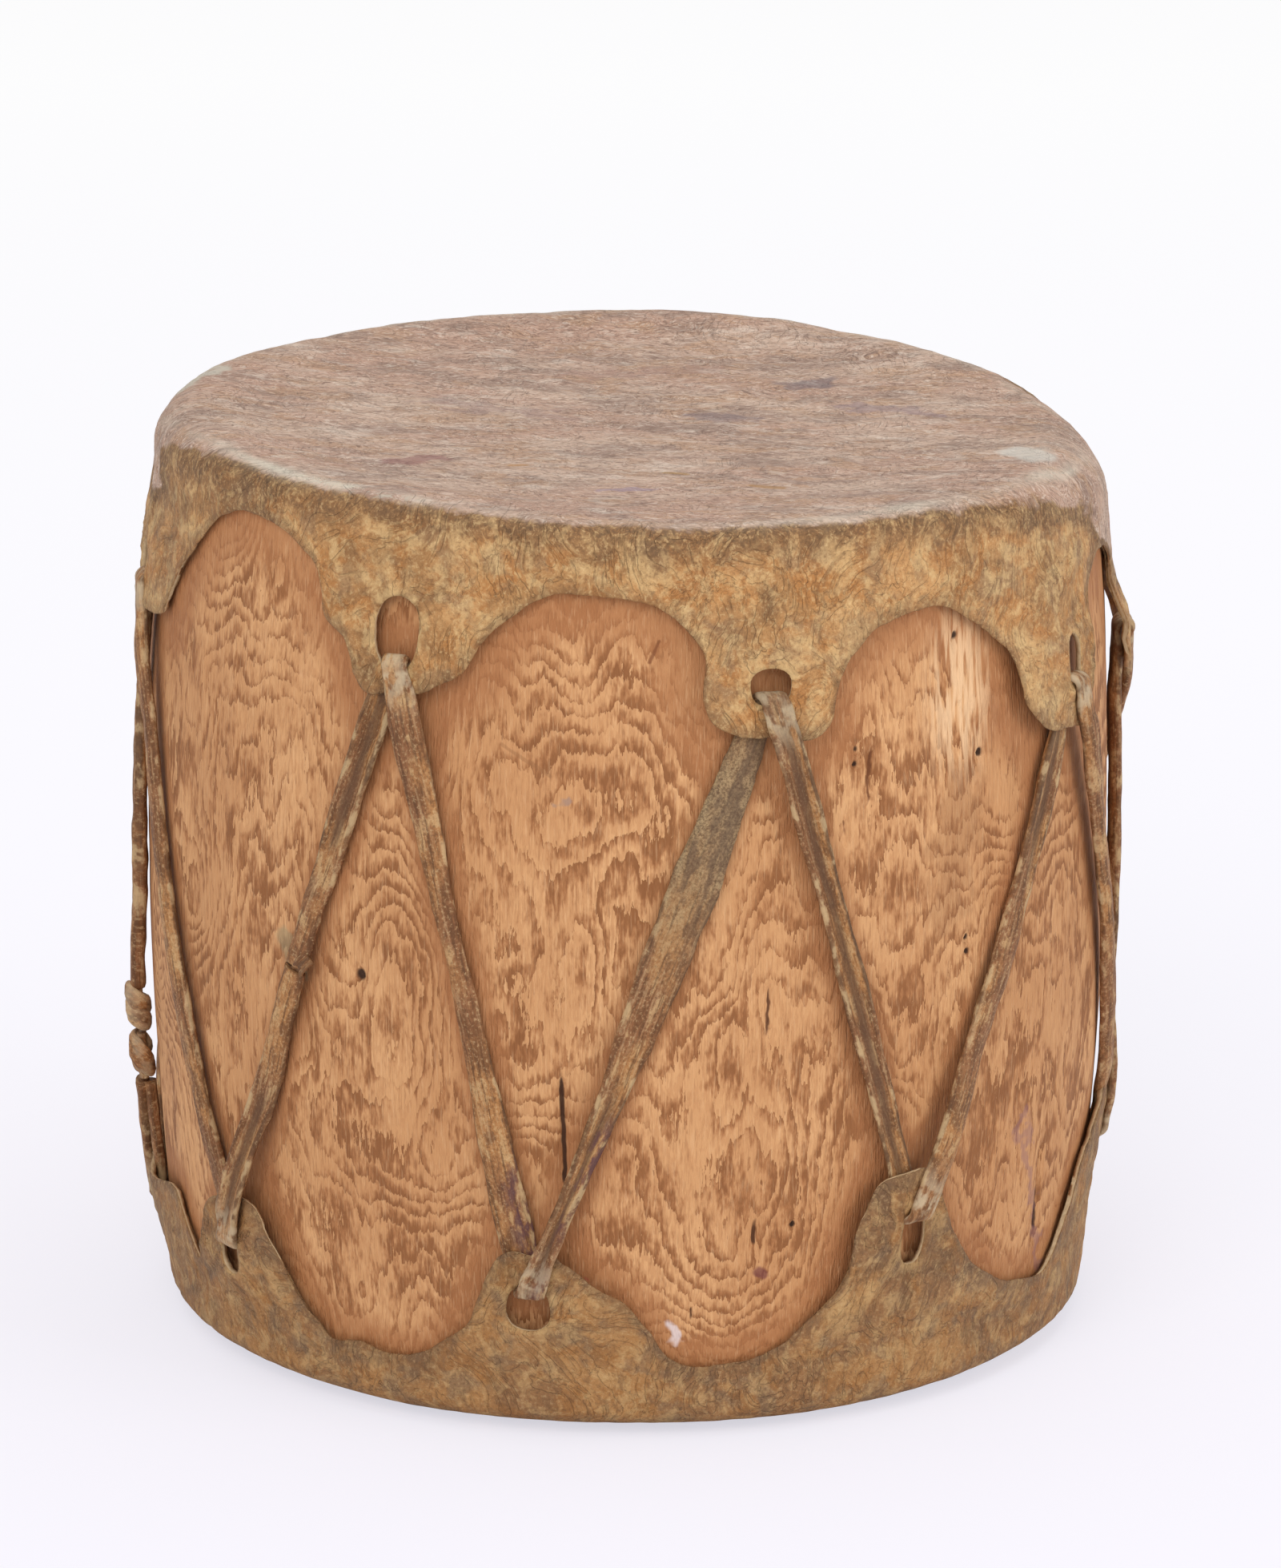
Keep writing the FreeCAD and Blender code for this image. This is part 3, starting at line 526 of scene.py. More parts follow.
def skirt_grid(end, columns, rows):
    """The skirt as a grid of (angle, depth), crease first, with an extra row just inside the cut edge."""
    edge = end.outline()
    flat = np.column_stack([edge[:, 0] * PER_DEGREE, edge[:, 1]])
    ring = np.vstack([flat, flat[:1] + [GIRTH, 0]])
    steps = np.diff(ring, axis=0)
    run = np.concatenate([[0], np.cumsum(np.hypot(steps[:, 0], .6 * steps[:, 1]))])
    at = np.linspace(0, run[-1], columns, endpoint=False)
    low_u, low_v = np.interp(at, run, ring[:, 0]), np.interp(at, run, ring[:, 1])
    even = low_u[0] + GIRTH * np.arange(columns) / columns
    drift = low_u - even
    reach = np.minimum(np.arange(columns), columns - np.arange(columns))
    kernel = np.exp(-(reach / 16.0) ** 2 / 2)
    drift = np.real(np.fft.ifft(np.fft.fft(drift) * np.fft.fft(kernel / kernel.sum())))
    high_u = even + drift
    crest = high_u / PER_DEGREE
    x = wood_radius(end.level(10)) * np.sin(high_u / MIDDLE_RADIUS)
    rim = end.plane(x) - end.into * end.crest(crest) - end.base
    high_v = end.into * rim + end.rounding(crest)[1]
    share = np.linspace(0, 1, rows)[:, None]
    u, v = settled(high_u + (low_u - high_u) * share, high_v + (low_v - high_v) * share)
    length = np.hypot(u[-1] - u[-2], v[-1] - v[-2])
    near = np.minimum(.6, .7 / length)
    u = np.insert(u, rows - 1, u[-1] + (u[-2] - u[-1]) * near, axis=0)
    v = np.insert(v, rows - 1, v[-1] + (v[-2] - v[-1]) * near, axis=0)
    return u, v


def open_hole(u, v, tab):
    """Moves the grid round a tab's hole on to the hole's edge, and returns which points lie
    inside it. Square rings of the grid become rings of the hole's shape, fading outwards."""
    angle, lip, far, width = tab[2]
    cu, cv = angle * PER_DEGREE, (lip + far) / 2 * SKIRT
    du = short_way(u, cu, GIRTH)
    dv = v - cv
    i0, j0 = np.unravel_index(np.argmin(du ** 2 + dv ** 2), u.shape)
    columns = u.shape[1]
    half_w, half_h = width / 2, (lip - far) / 2 * SKIRT
    wide = abs(du[i0, (j0 + 3) % columns] - du[i0, (j0 - 3) % columns]) / 6
    tall = abs(dv[i0 + 3, j0] - dv[i0 - 3, j0]) / 6
    bi, bj = max(2, round(.8 * half_h / tall)), max(2, round(.8 * half_w / wide))
    i = (np.arange(u.shape[0])[:, None] - i0) / bi
    j = ((np.arange(columns)[None, :] - j0 + columns // 2) % columns - columns // 2) / bj
    ring = np.maximum(np.abs(i), np.abs(j))
    reach = ease((2.7 - ring) / 1.7)
    scale = np.maximum(ring, 1e-6)
    turn = np.arctan2(i, j)
    c, s = np.cos(turn), np.sin(turn)
    lip_side = s > 0
    ou = half_w * np.sign(c) * np.abs(c) ** np.where(lip_side, .62, .95) * (1 - .12 * s)
    ov = half_h * np.sign(s) * np.abs(s) ** np.where(lip_side, .7, .95)
    touched = (ring >= 1) & (ring < 2.7)
    u[touched] += (reach * (ou - du / scale))[touched]
    v[touched] += (reach * (ov - dv / scale))[touched]
    return ring


def hole_creases(end, u, v):
    """Fine folds that fan out from each hole, where the lace pulls the hide together."""
    total = np.zeros(u.shape)
    for k, tab in enumerate(end.tabs):
        angle, lip, far, _ = tab[2]
        du = short_way(u, angle * PER_DEGREE, GIRTH)
        dv = v - (lip + far) / 2 * SKIRT
        away = np.hypot(du, dv)
        turn = np.arctan2(du, -dv)
        wave = noise(np.stack([turn * 4.2, away / 30, 0 * away + k * 3.3], axis=-1), end.seed + 50)
        wave = wave + .6 * noise(np.stack([turn * 9, away / 16, 0 * away + k * 5.1], axis=-1), end.seed + 51)
        total = total + wave * ease((away - 5) / 9) * ease((52 - away) / 34)
    return total


def skirt_surface(end, settings, u, v, hole_ring):
    """The skirt over its grid of (round, depth): it stands off the wood by its gap and
    thickness, the tabs' lift, folds and wrinkles, a curl at the cut edge and a puffed rim
    round each hole. Gives its points, its folds and the distance to the cut edge."""
    angle = u / PER_DEGREE
    z = end.level(v)
    edge_run = np.hypot(u - u[-1], v - v[-1])
    at = round_drum(angle, MIDDLE_RADIUS, z)
    lift = end.stand_off(angle, v) * settings.lift
    curl = (.5 + .6 * noise(at / 24, end.seed + 3)) * np.exp(-edge_run / 5)
    fade = ease((v - v[0]) / 10)
    pull = (hole_creases(end, u, v) * .62 + rough(at / 17, end.seed + 5, 3) * .5) * fade
    pull = (pull + .2 * rough(at / 5, end.seed + 6, 2)) * settings.relief
    puff = np.maximum(0, 1 - np.abs(hole_ring - 1.15) / .9) * .5
    roll = -.55 * np.exp(-edge_run / .5) - .4 * (hole_ring < 1.01)
    out = GAP + settings.thickness / MM + .1 + lift + curl * ease((edge_run.max(0) - 3) / 20) \
        + np.maximum(pull, -.4 - lift * .5) + puff + roll
    return round_drum(angle, wood_radius(z) + out, z), pull, edge_run


def rim_surface(end, around, outer, level):
    """The rounding between the crest and the skirt: a quarter of an ellipse, kneaded into soft
    lumps that fade downwards. Gives its points and the crest's radius."""
    reach, tall = end.rounding(around)
    bend = np.radians(np.linspace(0, 81, 10))[:, None]
    radius = outer - reach + reach * np.sin(bend)
    rim = round_drum(around, radius, level - end.into * tall * np.cos(bend))
    fall = np.linspace(1, .15, 10)[:, None]
    knead = .35 * rough(rim / 26, end.seed + 13, 3) + .2 * rough(rim / 7, end.seed + 14, 2)
    knead = np.clip(knead, -.3, .9) * (1 if end.into < 0 else .5)
    rim[..., 2] += (knead if end.into < 0 else np.abs(knead)) * fall
    rim[..., :2] *= (1 + knead / 150 * (1.1 - fall))[..., None]
    return rim, radius[0]


def membrane(end, settings, share, edge, turn):
    """The head inside its rim, at shares of the crest's radius: flat, a little wavy, sunk over
    the drum's mouth and raised to the crest by the rim."""
    flat = round_drum(turn, edge * share, 0.0)
    by_rim = ease((share - .8) / .19)
    mouth = TOP_RADIUS - BORE_WALL - 1.5
    sunk = end.dish * np.clip(1 - (edge * share / mouth) ** 2, 0, 1) ** .85
    wave = .35 * rough(flat / 60, end.seed + 9, 2) + .16 * rough(flat / [22, 8, 9], end.seed + 10, 3)
    rise = wave * .8 * settings.relief * (1 - by_rim) + end.crest(turn) * by_rim - sunk
    flat[..., 2] = end.plane(flat[..., 0]) - end.into * rise
    if end.into > 0:
        flat[..., 2] = np.maximum(flat[..., 2], LOWEST)
    return flat


def build_head(end, settings):
    """One hide: dished membrane, rubbed-down rim with its pale crest, rounding, and the skirt
    with its tabs and holes, as one grid whose middle has fewer points round it, with the
    holes' faces left out. The crest's paleness is partly wear and partly a painted highlight."""
    u, v = skirt_grid(end, HEAD_COLUMNS, HEAD_ROWS)
    hole_ring = np.full(u.shape, FAR_FROM_HOLE)
    for tab in end.tabs:
        hole_ring = np.minimum(hole_ring, open_hole(u, v, tab))
    skirt, pull, edge_run = skirt_surface(end, settings, u, v, hole_ring)
    around = u[0] / PER_DEGREE
    rim, crest_radius = rim_surface(end, around, np.hypot(skirt[0, :, 0], skirt[0, :, 1]), end.level(v[0]))
    share = np.concatenate([np.linspace(.34, .8, 9), np.linspace(.83, .985, 9)])[:, None]
    flat = membrane(end, settings, share, crest_radius, around)
    flat[..., 2] += (rim[0, :, 2] - flat[-1, :, 2]) * ease((share - .84) / .16)
    step = HEAD_COLUMNS // MIDDLE_COLUMNS
    inner = membrane(end, settings, np.array([[.06], [.12], [.18], [.25], [.30]]), crest_radius[::step],
                     around[::step])

    grid = np.concatenate([flat, rim, skirt])
    above = len(flat) + len(rim)
    base = grid.shape[0] * HEAD_COLUMNS
    centre = np.array([[0.0, 0.0, np.mean(inner[0, :, 2])]])
    verts = np.concatenate([grid.reshape(-1, 3), inner.reshape(-1, 3), centre])
    quads = grid_faces(len(grid), HEAD_COLUMNS)
    open_at = np.zeros(grid.shape[:2])
    open_at[above:] = hole_ring <= 1.0001
    quads = quads[~(open_at.reshape(-1)[quads].min(axis=1) > 0)]
    j = np.arange(MIDDLE_COLUMNS)
    after = (j + 1) % MIDDLE_COLUMNS
    last = base + (len(inner) - 1) * MIDDLE_COLUMNS
    fine = [(j * step + k) % HEAD_COLUMNS for k in range(step + 1)]
    join = np.stack(fine + [last + after, last + j], axis=-1)
    fan = np.stack([np.full(MIDDLE_COLUMNS, len(verts) - 1), base + j, base + after], axis=-1)
    faces = [quads[:, ::-1], (grid_faces(len(inner), MIDDLE_COLUMNS) + base)[:, ::-1], join, fan]
    if end.into > 0:
        faces = [face[:, ::-1] for face in faces]

    rim_run = np.cumsum(np.linalg.norm(np.diff(rim, axis=0, prepend=rim[:1]), axis=2), axis=0)
    run = np.concatenate([crest_radius * (share - 1), rim_run, rim_run[-1] + v - v[0]])
    turn = np.broadcast_to(around, run.shape).copy()
    turn[above:] = u / PER_DEGREE
    limit = by_angle(end.face_limit, turn)
    limit = limit * (1 + .45 * rough(round_drum(turn, 60.0, run) / 14, end.seed + 17, 3))
    # Pale band along the crest: partly wear, partly a painted highlight
    worn = by_angle(end.worn, turn) * np.exp(-((run - limit * .35) / 2.6) ** 2)

    def below(values, fill):
        """Values of the skirt, with one value for all that lies above it."""
        return np.concatenate([np.full((above, HEAD_COLUMNS), fill), values])

    layers = {"over": (run - limit, -100), "worn": (worn, 0),
              "edge": (below(edge_run, FAR_FROM_EDGE), FAR_FROM_EDGE),
              "hole": (below(hole_ring, FAR_FROM_HOLE), FAR_FROM_HOLE), "fold": (below(pull, 0.0), 0)}
    used = np.zeros(len(verts), dtype=bool)
    for face in faces:
        used[face.ravel()] = True
    renumber = np.cumsum(used) - 1
    rest = len(verts) - base
    layers = {key: np.append(values.ravel(), np.full(rest, fill))[used]
              for key, (values, fill) in layers.items()}
    obj = mesh_object(end.name + "_hide", verts[used], [renumber[face] for face in faces], layers)
    wall = obj.modifiers.new("Hide thickness", "SOLIDIFY")
    wall.thickness = settings.thickness
    wall.offset = -1
    wall.material_offset_rim = 1
    return obj


# Laces

class Stop:
    """Where the lace meets a hole's lip."""

    def __init__(self, end, tab, turn):
        self.into = end.into
        self.angle = tab[2][0] + turn
        self.z = end.level(tab[2][1] * SKIRT)
        tip = (tab[0][1] + tab[1][1]) / 2
        self.tip_run = (tip - tab[2][1]) * SKIRT
        rise, start, full, _ = tab[3]
        self.rise = float(rise * ease((tab[2][1] / tip - start) / (full - start)))
        self.skin = GAP + self.rise + 1.1


class Loose:
    """A free end of a lace: angle, height and offset from the wood."""

    def __init__(self, angle, z, offset):
        self.angle = angle
        self.z = z
        self.offset = offset


def across_run(a, b):
    """How far the lace goes round the drum for each millimetre that it goes up or down."""
    return (b.angle - a.angle) * PER_DEGREE / abs(b.z - a.z)


def run_stations(a, b, table, slope_in, low=0.0, high=1.0):
    """Centres, faces and section sizes of the lace between two stops, from share low to high.
    It leaves the front of a's tab, comes down to the wood, and rises behind b's tab."""
    length = abs(b.z - a.z)
    way = math.copysign(1, b.z - a.z)
    slope = across_run(a, b)
    count = max(4, round(length * math.hypot(1, slope) * (high - low) / 2.0))
    s = low + (high - low) * (np.arange(count) + .5) / count
    columns = np.array(table, dtype=float).T
    sizes = [np.interp(s, columns[0], c) for c in columns[1:]]
    if count > 24:
        sizes = [np.convolve(np.pad(x, 3, mode="edge"), np.ones(7) / 7, mode="valid") for x in sizes]
    width, curl, thick, shift = sizes
    run = s * length
    shift = shift * np.sin(np.pi * s)
    folded = FOLD * 1.57 * slope / PER_DEGREE
    first = a.angle + folded * isinstance(a, Stop)
    last = b.angle - folded * isinstance(b, Stop)
    angle = first + (last - first) * s + shift / PER_DEGREE
    z = a.z + way * run
    fall = np.maximum(curl, 0)
    sag = np.where(fall > .05, width / np.maximum(fall, .05) * (1 - np.cos(fall / 2)), 0)
    base = thick / 2 + .2 + sag
    if isinstance(a, Stop):
        apart = 9.0 * math.hypot(1, slope) / max(.05, slope_in + slope)
        hold = max(a.tip_run + 2, min(apart, 30) - FOLD)
        start = a.skin + FOLD
        lead = ease(1 - (run - hold) / (26 + 5 * a.rise))
    else:
        start = a.offset
        lead = ease(1 - run / 40)
    offset = base + np.maximum(start - base, 0) * lead
    if isinstance(b, Stop):
        finish = max(b.skin - FOLD, 1.5)
        gather = ease(1 - (length - run) / (b.tip_run + 12))
        offset = offset + (finish - offset) * gather
        behind = ease(1 - (length - run) / (b.tip_run + 5))
        curl = curl * (1 - behind)
        thick = thick + (2.2 - thick) * behind
        width = width + (8.5 - width) * behind
    else:
        offset = offset + (b.offset - offset) * ease(1 - (length - run) / 40)
    if isinstance(a, Stop):
        calm = ease(run / 9)
        curl = curl * calm
        thick = 2.8 + (thick - 2.8) * calm
        width = 8.8 + (width - 8.8) * calm
    centre = round_drum(angle, wood_radius(z) + offset, z)
    face = off_wood(angle, z) * -way
    pale = np.zeros(count)
    if isinstance(a, Stop):
        pale = np.maximum(pale, ease(1 - run / 16))
    if isinstance(b, Stop):
        pale = np.maximum(pale, ease(1 - (length - run) / 7))
    return [centre, face, width, thick, curl * -way, pale]


def fold_stations(stop, slope_in, slope_out):
    """The half turn over a hole's lip, from behind the skin to its front."""
    rim = -stop.into
    off = off_wood(stop.angle, stop.z)
    aside = round_drum(stop.angle + 90, 1.0, 0.0)
    up = np.cross(off, aside) * rim
    centre = round_drum(stop.angle, wood_radius(stop.z), stop.z) + off * stop.skin
    turn = np.pi * np.arange(13) / 12
    slope = np.where(turn < np.pi / 2, slope_in, slope_out)[:, None]
    away = -off * np.cos(turn)[:, None] + up * np.sin(turn)[:, None]
    spots = centre + away * FOLD + aside * (FOLD * (turn[:, None] - np.pi / 2) * slope)
    n = len(turn)
    swell = np.sin(turn)
    return [spots, away * rim, 8.6 + .5 * swell, 2.5 + .5 * swell, np.zeros(n), .4 + .6 * swell]



def settle_line(values):
    """A line of values, each drawn to half of itself and a quarter of each neighbour."""
    inner = (values[:-2] + 2 * values[1:-1] + values[2:]) / 4
    return np.concatenate([values[:1], inner, values[-1:]])


def joined(parts):
    """Centre, face, width, thickness, curl and paleness along a lace, smoothed twice where
    runs and folds meet."""
    centre, face, width, thick, curl, pale = (np.concatenate(x) for x in zip(*parts))
    for _ in range(2):
        centre, width, thick, curl = (settle_line(x) for x in (centre, width, thick, curl))
    return centre, face, width, thick, curl, pale


def lace_mesh(name, parts, seed, hairy=None, stains=()):
    """Closed strip with the given stations: each section is a curved bar, its edges rounded,
    and widths, curl and roll wander a little along the lace."""
    centre, face, width, thick, curl, pale = joined(parts)
    along = np.gradient(centre, axis=0)
    along /= np.linalg.norm(along, axis=1, keepdims=True)
    face = face - along * np.sum(along * face, axis=1, keepdims=True)
    face /= np.linalg.norm(face, axis=1, keepdims=True)
    run = np.concatenate([[0], np.cumsum(np.linalg.norm(np.diff(centre, axis=0), axis=1))])

    def wander(size, row):
        return noise(np.column_stack([run / size, np.full(len(run), seed * 3.7), run * 0 + row]), seed)

    width = width * (1 + .08 * wander(14, 1))
    thick = thick * (1 + .1 * wander(9, 2))
    curl = curl * (1 + .18 * wander(21, 3))
    roll = .16 * wander(34, 4) * (1 - pale)
    aside = np.cross(along, face)
    aside, face = (aside * np.cos(roll)[:, None] + face * np.sin(roll)[:, None],
                   face * np.cos(roll)[:, None] - aside * np.sin(roll)[:, None])
    round_at = 2 * np.pi * np.arange(SECTION) / SECTION
    x = np.sign(np.cos(round_at)) * np.abs(np.cos(round_at)) ** .7
    y = np.sign(np.sin(round_at)) * np.abs(np.sin(round_at)) ** .8
    bend = x[None, :] * curl[:, None] / 2
    w, t = width[:, None] / 2, thick[:, None] / 2
    lip = 1 + .22 * np.abs(x[None, :]) ** 3
    px = w * x * np.sinc(bend / np.pi) + t * lip * y * np.sin(bend)
    py = -w * x * np.sin(bend / 2) * np.sinc(bend / 2 / np.pi) + t * lip * y * np.cos(bend)
    points = centre[:, None] + aside[:, None] * px[..., None] + face[:, None] * py[..., None]
    normal = aside[:, None] * x[None, :, None] + face[:, None] * y[None, :, None]
    shag = (ease(1 - np.abs(run - hairy[0]) / hairy[1]) if hairy else run * 0)[:, None]
    bump = rough(points / 5.5, seed + 20, 2) * .22 + rough(points / 1.6, seed + 21, 2) * .3 * shag
    bump = bump - .3 * np.maximum(0, rough(np.stack(np.broadcast_arrays(
        run[:, None] / 16, (x * w) / 1.8, y[None, :] * .4), axis=-1), seed + 22, 2))
    points = points + normal * bump[..., None]
    rows = len(points)
    verts = np.concatenate([points.reshape(-1, 3), centre[:1], centre[-1:]])
    quads = grid_faces(rows, SECTION)[:, ::-1]
    j = np.arange(SECTION)
    start = np.stack([np.full(SECTION, rows * SECTION), (j + 1) % SECTION, j], axis=-1)[:, ::-1]
    last = (rows - 1) * SECTION
    stop = np.stack([np.full(SECTION, rows * SECTION + 1), last + (j + 1) % SECTION, last + j], axis=-1)
    shape = (rows, SECTION)
    outer = off_wood(np.degrees(np.arctan2(points[..., 0], -points[..., 1])), points[..., 2])
    front = np.sum(outer * (face[:, None] * y[None, :, None]), axis=-1)
    cup = np.sum(outer * face[:, None], axis=-1) * curl[:, None]
    layers = {"along": np.broadcast_to(run[:, None], shape), "across": np.broadcast_to(x * w, shape),
              "side": np.broadcast_to(x, shape), "front": front, "cup": cup,
              "pale": np.broadcast_to(pale[:, None], shape), "fur": np.broadcast_to(shag, shape)}
    marked = np.zeros(shape)
    for where, side_at, reach in stains:
        marked = np.maximum(marked, ease(1.6 - np.abs(run[:, None] - where) / reach)
                            * ease(1.5 - np.abs(x[None, :] - side_at) / .5))
    layers["stain"] = marked
    layers = {key: np.concatenate([value.ravel(), value[:1, 0], value[-1:, 0]])
              for key, value in layers.items()}
    return mesh_object(name, verts, [quads, start, stop], layers)


def lacing():
    """Stops in lacing order: each upper tab, then the next lower tab to its right."""
    stops = []
    for i, upper in enumerate(TOP_TABS):
        after = (i + 1) % len(BOTTOM_TABS)
        stops.append(Stop(TOP, upper, 0))
        stops.append(Stop(BOTTOM, BOTTOM_TABS[after], 360 if after == 0 else 0))
    return stops


def lace_path(points, low_share=0, high_share=1):
    """Stations of a lace through its stops, joined up. The first and the last run may be cut
    short: a first run that starts part of the way has no fold before it."""
    parts = []
    slopes = [0] + [across_run(a, b) for a, b, _ in points]
    for k, (a, b, table) in enumerate(points):
        low = 0 if k else low_share
        high = high_share if k + 1 == len(points) else 1
        if isinstance(a, Stop) and not low:
            parts.append(fold_stations(a, slopes[k], slopes[k + 1]))
        parts.append(run_stations(a, b, table, slopes[k], low, high))
    return parts


def splice_share(stops):
    """How far along the run from the first lower tab the second lace takes over."""
    return (SPLICE_LEVEL - stops[1].z) / (stops[2].z - stops[1].z)


def lace_pieces():
    """Name, stations, seed, and hairy part and stains where it has them, for each of the
    first lace, the second and its tail."""
    stops = lacing()
    cut = splice_share(stops)
    knot_top = Loose(UPPER_KNOT[0], UPPER_KNOT[2] - 1, 4.6)
    knot_foot = Loose(LOWER_KNOT[0] + 360, LOWER_KNOT[1] + 1, 5.4)
    tail_start = Loose(LOWER_KNOT[0], LOWER_KNOT[1] + 1, 2.0)
    pairs = list(zip(stops, stops[1:], RUNS))
    first = lace_path([(knot_top, stops[0], KNOT_RUN), *pairs[:2]], high_share=cut)
    second = lace_path([*pairs[1:], (stops[-1], knot_foot, EXIT_RUN)], low_share=cut)
    tail = lace_path([(tail_start, Loose(*TAIL_FOOT, 2.2), TAIL_RUN)])
    return [("short_lace_strip", first, 5), ("long_lace_strip", second, 6, HAIRY_PART, LACE_STAINS),
            ("lace_tail_strip", tail, 7)]


def coil(name, centre_angle, low, high, turns, tilt, seed, reach, start):
    """A knot of one strand: it runs down through the middle, just off the wood, and is then
    wound back up round itself as a flat helix, wider round the drum than off it."""
    t = np.linspace(0, 1, 100)
    turn = 2 * np.pi * turns * t + start
    down = np.linspace(1, 0, 20)
    wound = ease(t * 7)
    z = low + (high - low) * (.17 + .66 * t) + tilt * np.sin(turn) * wound
    z = np.concatenate([low + .6 + (high - low - 1.2) * down, z])
    around_mm = np.concatenate([down * 0, reach[0] * np.cos(turn) * wound])
    offset = reach[2] + np.concatenate([down * 0, reach[1] * np.sin(turn) * wound])
    angle = centre_angle + around_mm / PER_DEGREE
    centre = round_drum(angle, wood_radius(z) + offset, z)
    hub = round_drum(centre_angle, wood_radius(z) + reach[2], z)
    out = round_drum(centre_angle, 1.0, 0.0)
    face = centre - hub + out * np.concatenate([down * 0 + 1, 1 - wound])[:, None]
    face /= np.linalg.norm(face, axis=1, keepdims=True)
    n = len(z)
    size = np.concatenate([down * 0 + .84, .84 + .16 * np.sin(np.pi * t)])
    parts = [[centre, face, 6.6 * size, 3.3 * size, np.full(n, 1.3), .3 + .3 * np.sin(around_mm * .7) ** 2]]
    return lace_mesh(name, parts, seed)


def splice_stub():
    """The first lace's end, curled, where it stands out from under the second: it runs aside
    and up, and arches off the wood as a half wave."""
    stops = lacing()
    middle = stops[1].angle + (stops[2].angle - stops[1].angle) * splice_share(stops)
    t = np.linspace(0, 1, 14)
    angle = middle + (1.0 + 5.2 * t) / PER_DEGREE
    z = SPLICE_LEVEL - 1.5 + 5.5 * t
    centre = round_drum(angle, wood_radius(z) + 2.2 + 2.2 * np.sin(np.pi * t * .8), z)
    level = np.ones(len(t))
    parts = [[centre, off_wood(angle, z), 5.8 - 1.4 * t, 2.0 * level, -2.6 * level, 0 * level]]
    return lace_mesh("splice_end_stub", parts, 12)


# Wood

def ring_field(angle, z, at):
    """Growth rings cut by the log's side, as a height in millimetres that wanders widely and
    is pushed up or down at each bulge."""
    field = (z * .42 + 27 * noise(at / [36, 36, 70], 71) + 11 * noise(at / [14, 14, 30], 72)
             + 3.4 * noise(at / [6, 6, 13], 73))
    for a, level, amount, wide, tall in RING_BULGES:
        du = short_way(angle, a) * PER_DEGREE
        field = field + .45 * amount * np.exp(-(du / wide) ** 2 - ((z - level) / tall) ** 2)
    return field


def torn_share(angle, z):
    """1 inside the patch of torn fibres, and falling to 0 round it."""
    centre, level, wide, tall = TORN_PATCH
    return ease(1.45 - np.hypot(short_way(angle, centre) * PER_DEGREE / wide, (z - level) / tall))


def build_log(settings):
    """The hollowed log: a closed shell whose outer side has flats, flutes, torn fibres,
    cracks and beetle holes, with a plain bore. Its ends are rounded under the hides."""
    theta = np.concatenate([np.arange(-96, 96, .45), np.linspace(96, 264, 150)])
    columns = len(theta)
    foot, foot_reach, foot_tall = GAP + 2.0, 20.0, 7.0
    worn_rim = np.maximum(5.5, by_angle(ROUNDING, theta) - 1.3)
    head = top_level(TOP_RADIUS * np.sin(np.radians(theta))) - GAP - 2.0 + np.minimum(TOP.crest(theta), 0)
    rise = np.linspace(0, 1, 126)[:, None]
    bend = np.radians(np.linspace(0, 90, 6))[:, None]
    low_z = foot + foot_tall
    z_side = low_z + (head - worn_rim - low_z) * rise
    low = round_drum(theta, wood_radius(low_z) - foot_reach * (1 - np.cos(bend[1:])),
                     low_z - foot_tall * np.sin(bend[1:]))
    high = round_drum(theta, wood_radius(head - worn_rim) - worn_rim * (1 - np.cos(bend[1:])),
                      head - worn_rim * (1 - np.sin(bend[1:])))
    at = round_drum(theta, wood_radius(z_side), z_side)
    turn = np.broadcast_to(theta, z_side.shape)

    def from_mark(angle, level):
        """Distances round and up from a place on the side."""
        return short_way(turn, angle) * PER_DEGREE, z_side - level

    cut = (.42 * noise(at / [30, 30, 120], 41) - .42 + .3 * noise(at / [9, 9, 60], 42)
           + .16 * noise(at / [3.6, 3.6, 34], 43) + .1 * noise(at / [2.2, 2.2, 12], 44))
    cut = cut - torn_share(turn, z_side) * (.3 + 1.3 * np.abs(noise(at / [2.6, 2.6, 26], 45)))
    for (a, upper), (b, lower), half, *_ in CRACKS:
        du, dz = from_mark((a + b) / 2, (upper + lower) / 2)
        inside = ease(((upper - lower) / 2 - np.abs(dz)) / 5)
        cut = cut - 1.5 * inside * np.exp(-(du / (half + .7)) ** 2)
    for angle, level, radius in BEETLE_HOLES:
        du, dz = from_mark(angle, level)
        cut = cut - 1.6 * np.exp(-(du ** 2 + dz ** 2) / (radius + .5) ** 2)
    cut = np.minimum(cut * settings.relief, .12) * ease(rise / .03) * ease((1 - rise) / .03)
    side = at + off_wood(turn, z_side) * cut[..., None]
    bore_z = head + (foot - head) * np.linspace(0, 1, 7)[:, None]
    bore = round_drum(theta, wood_radius(bore_z) - BORE_WALL, bore_z)
    grid = np.concatenate([low[::-1], side, high, bore])
    verts = grid.reshape(-1, 3)
    quads = grid_faces(len(grid), columns, close_rows=True)
    angle = np.degrees(np.arctan2(verts[:, 0], -verts[:, 1]))
    flat = np.column_stack([angle * PER_DEGREE, verts[:, 2]])
    laces = np.concatenate([joined(parts)[0] for _, parts, *_ in lace_pieces()])
    lace_flat = np.column_stack([np.arctan2(laces[:, 0], -laces[:, 1]) * MIDDLE_RADIUS, laces[:, 2]])
    by_skirt = []
    for end, narrower in ((TOP, .62), (BOTTOM, 1)):
        outline = end.outline()[::10]
        edge = np.column_stack([outline[:, 0] * PER_DEGREE, end.level(outline[:, 1])])
        by_skirt.append(nearest(flat, edge) * narrower)
    layers = {"rings": ring_field(angle, verts[:, 2], verts), "by_lace": nearest(flat, lace_flat[::3]),
              "by_skirt": np.minimum(*by_skirt),
              "torn": torn_share(angle, verts[:, 2])}
    return mesh_object("log_shell_wood", verts, [quads], layers)


# Materials

SOFT = {"interpolation_type": "SMOOTHSTEP"}


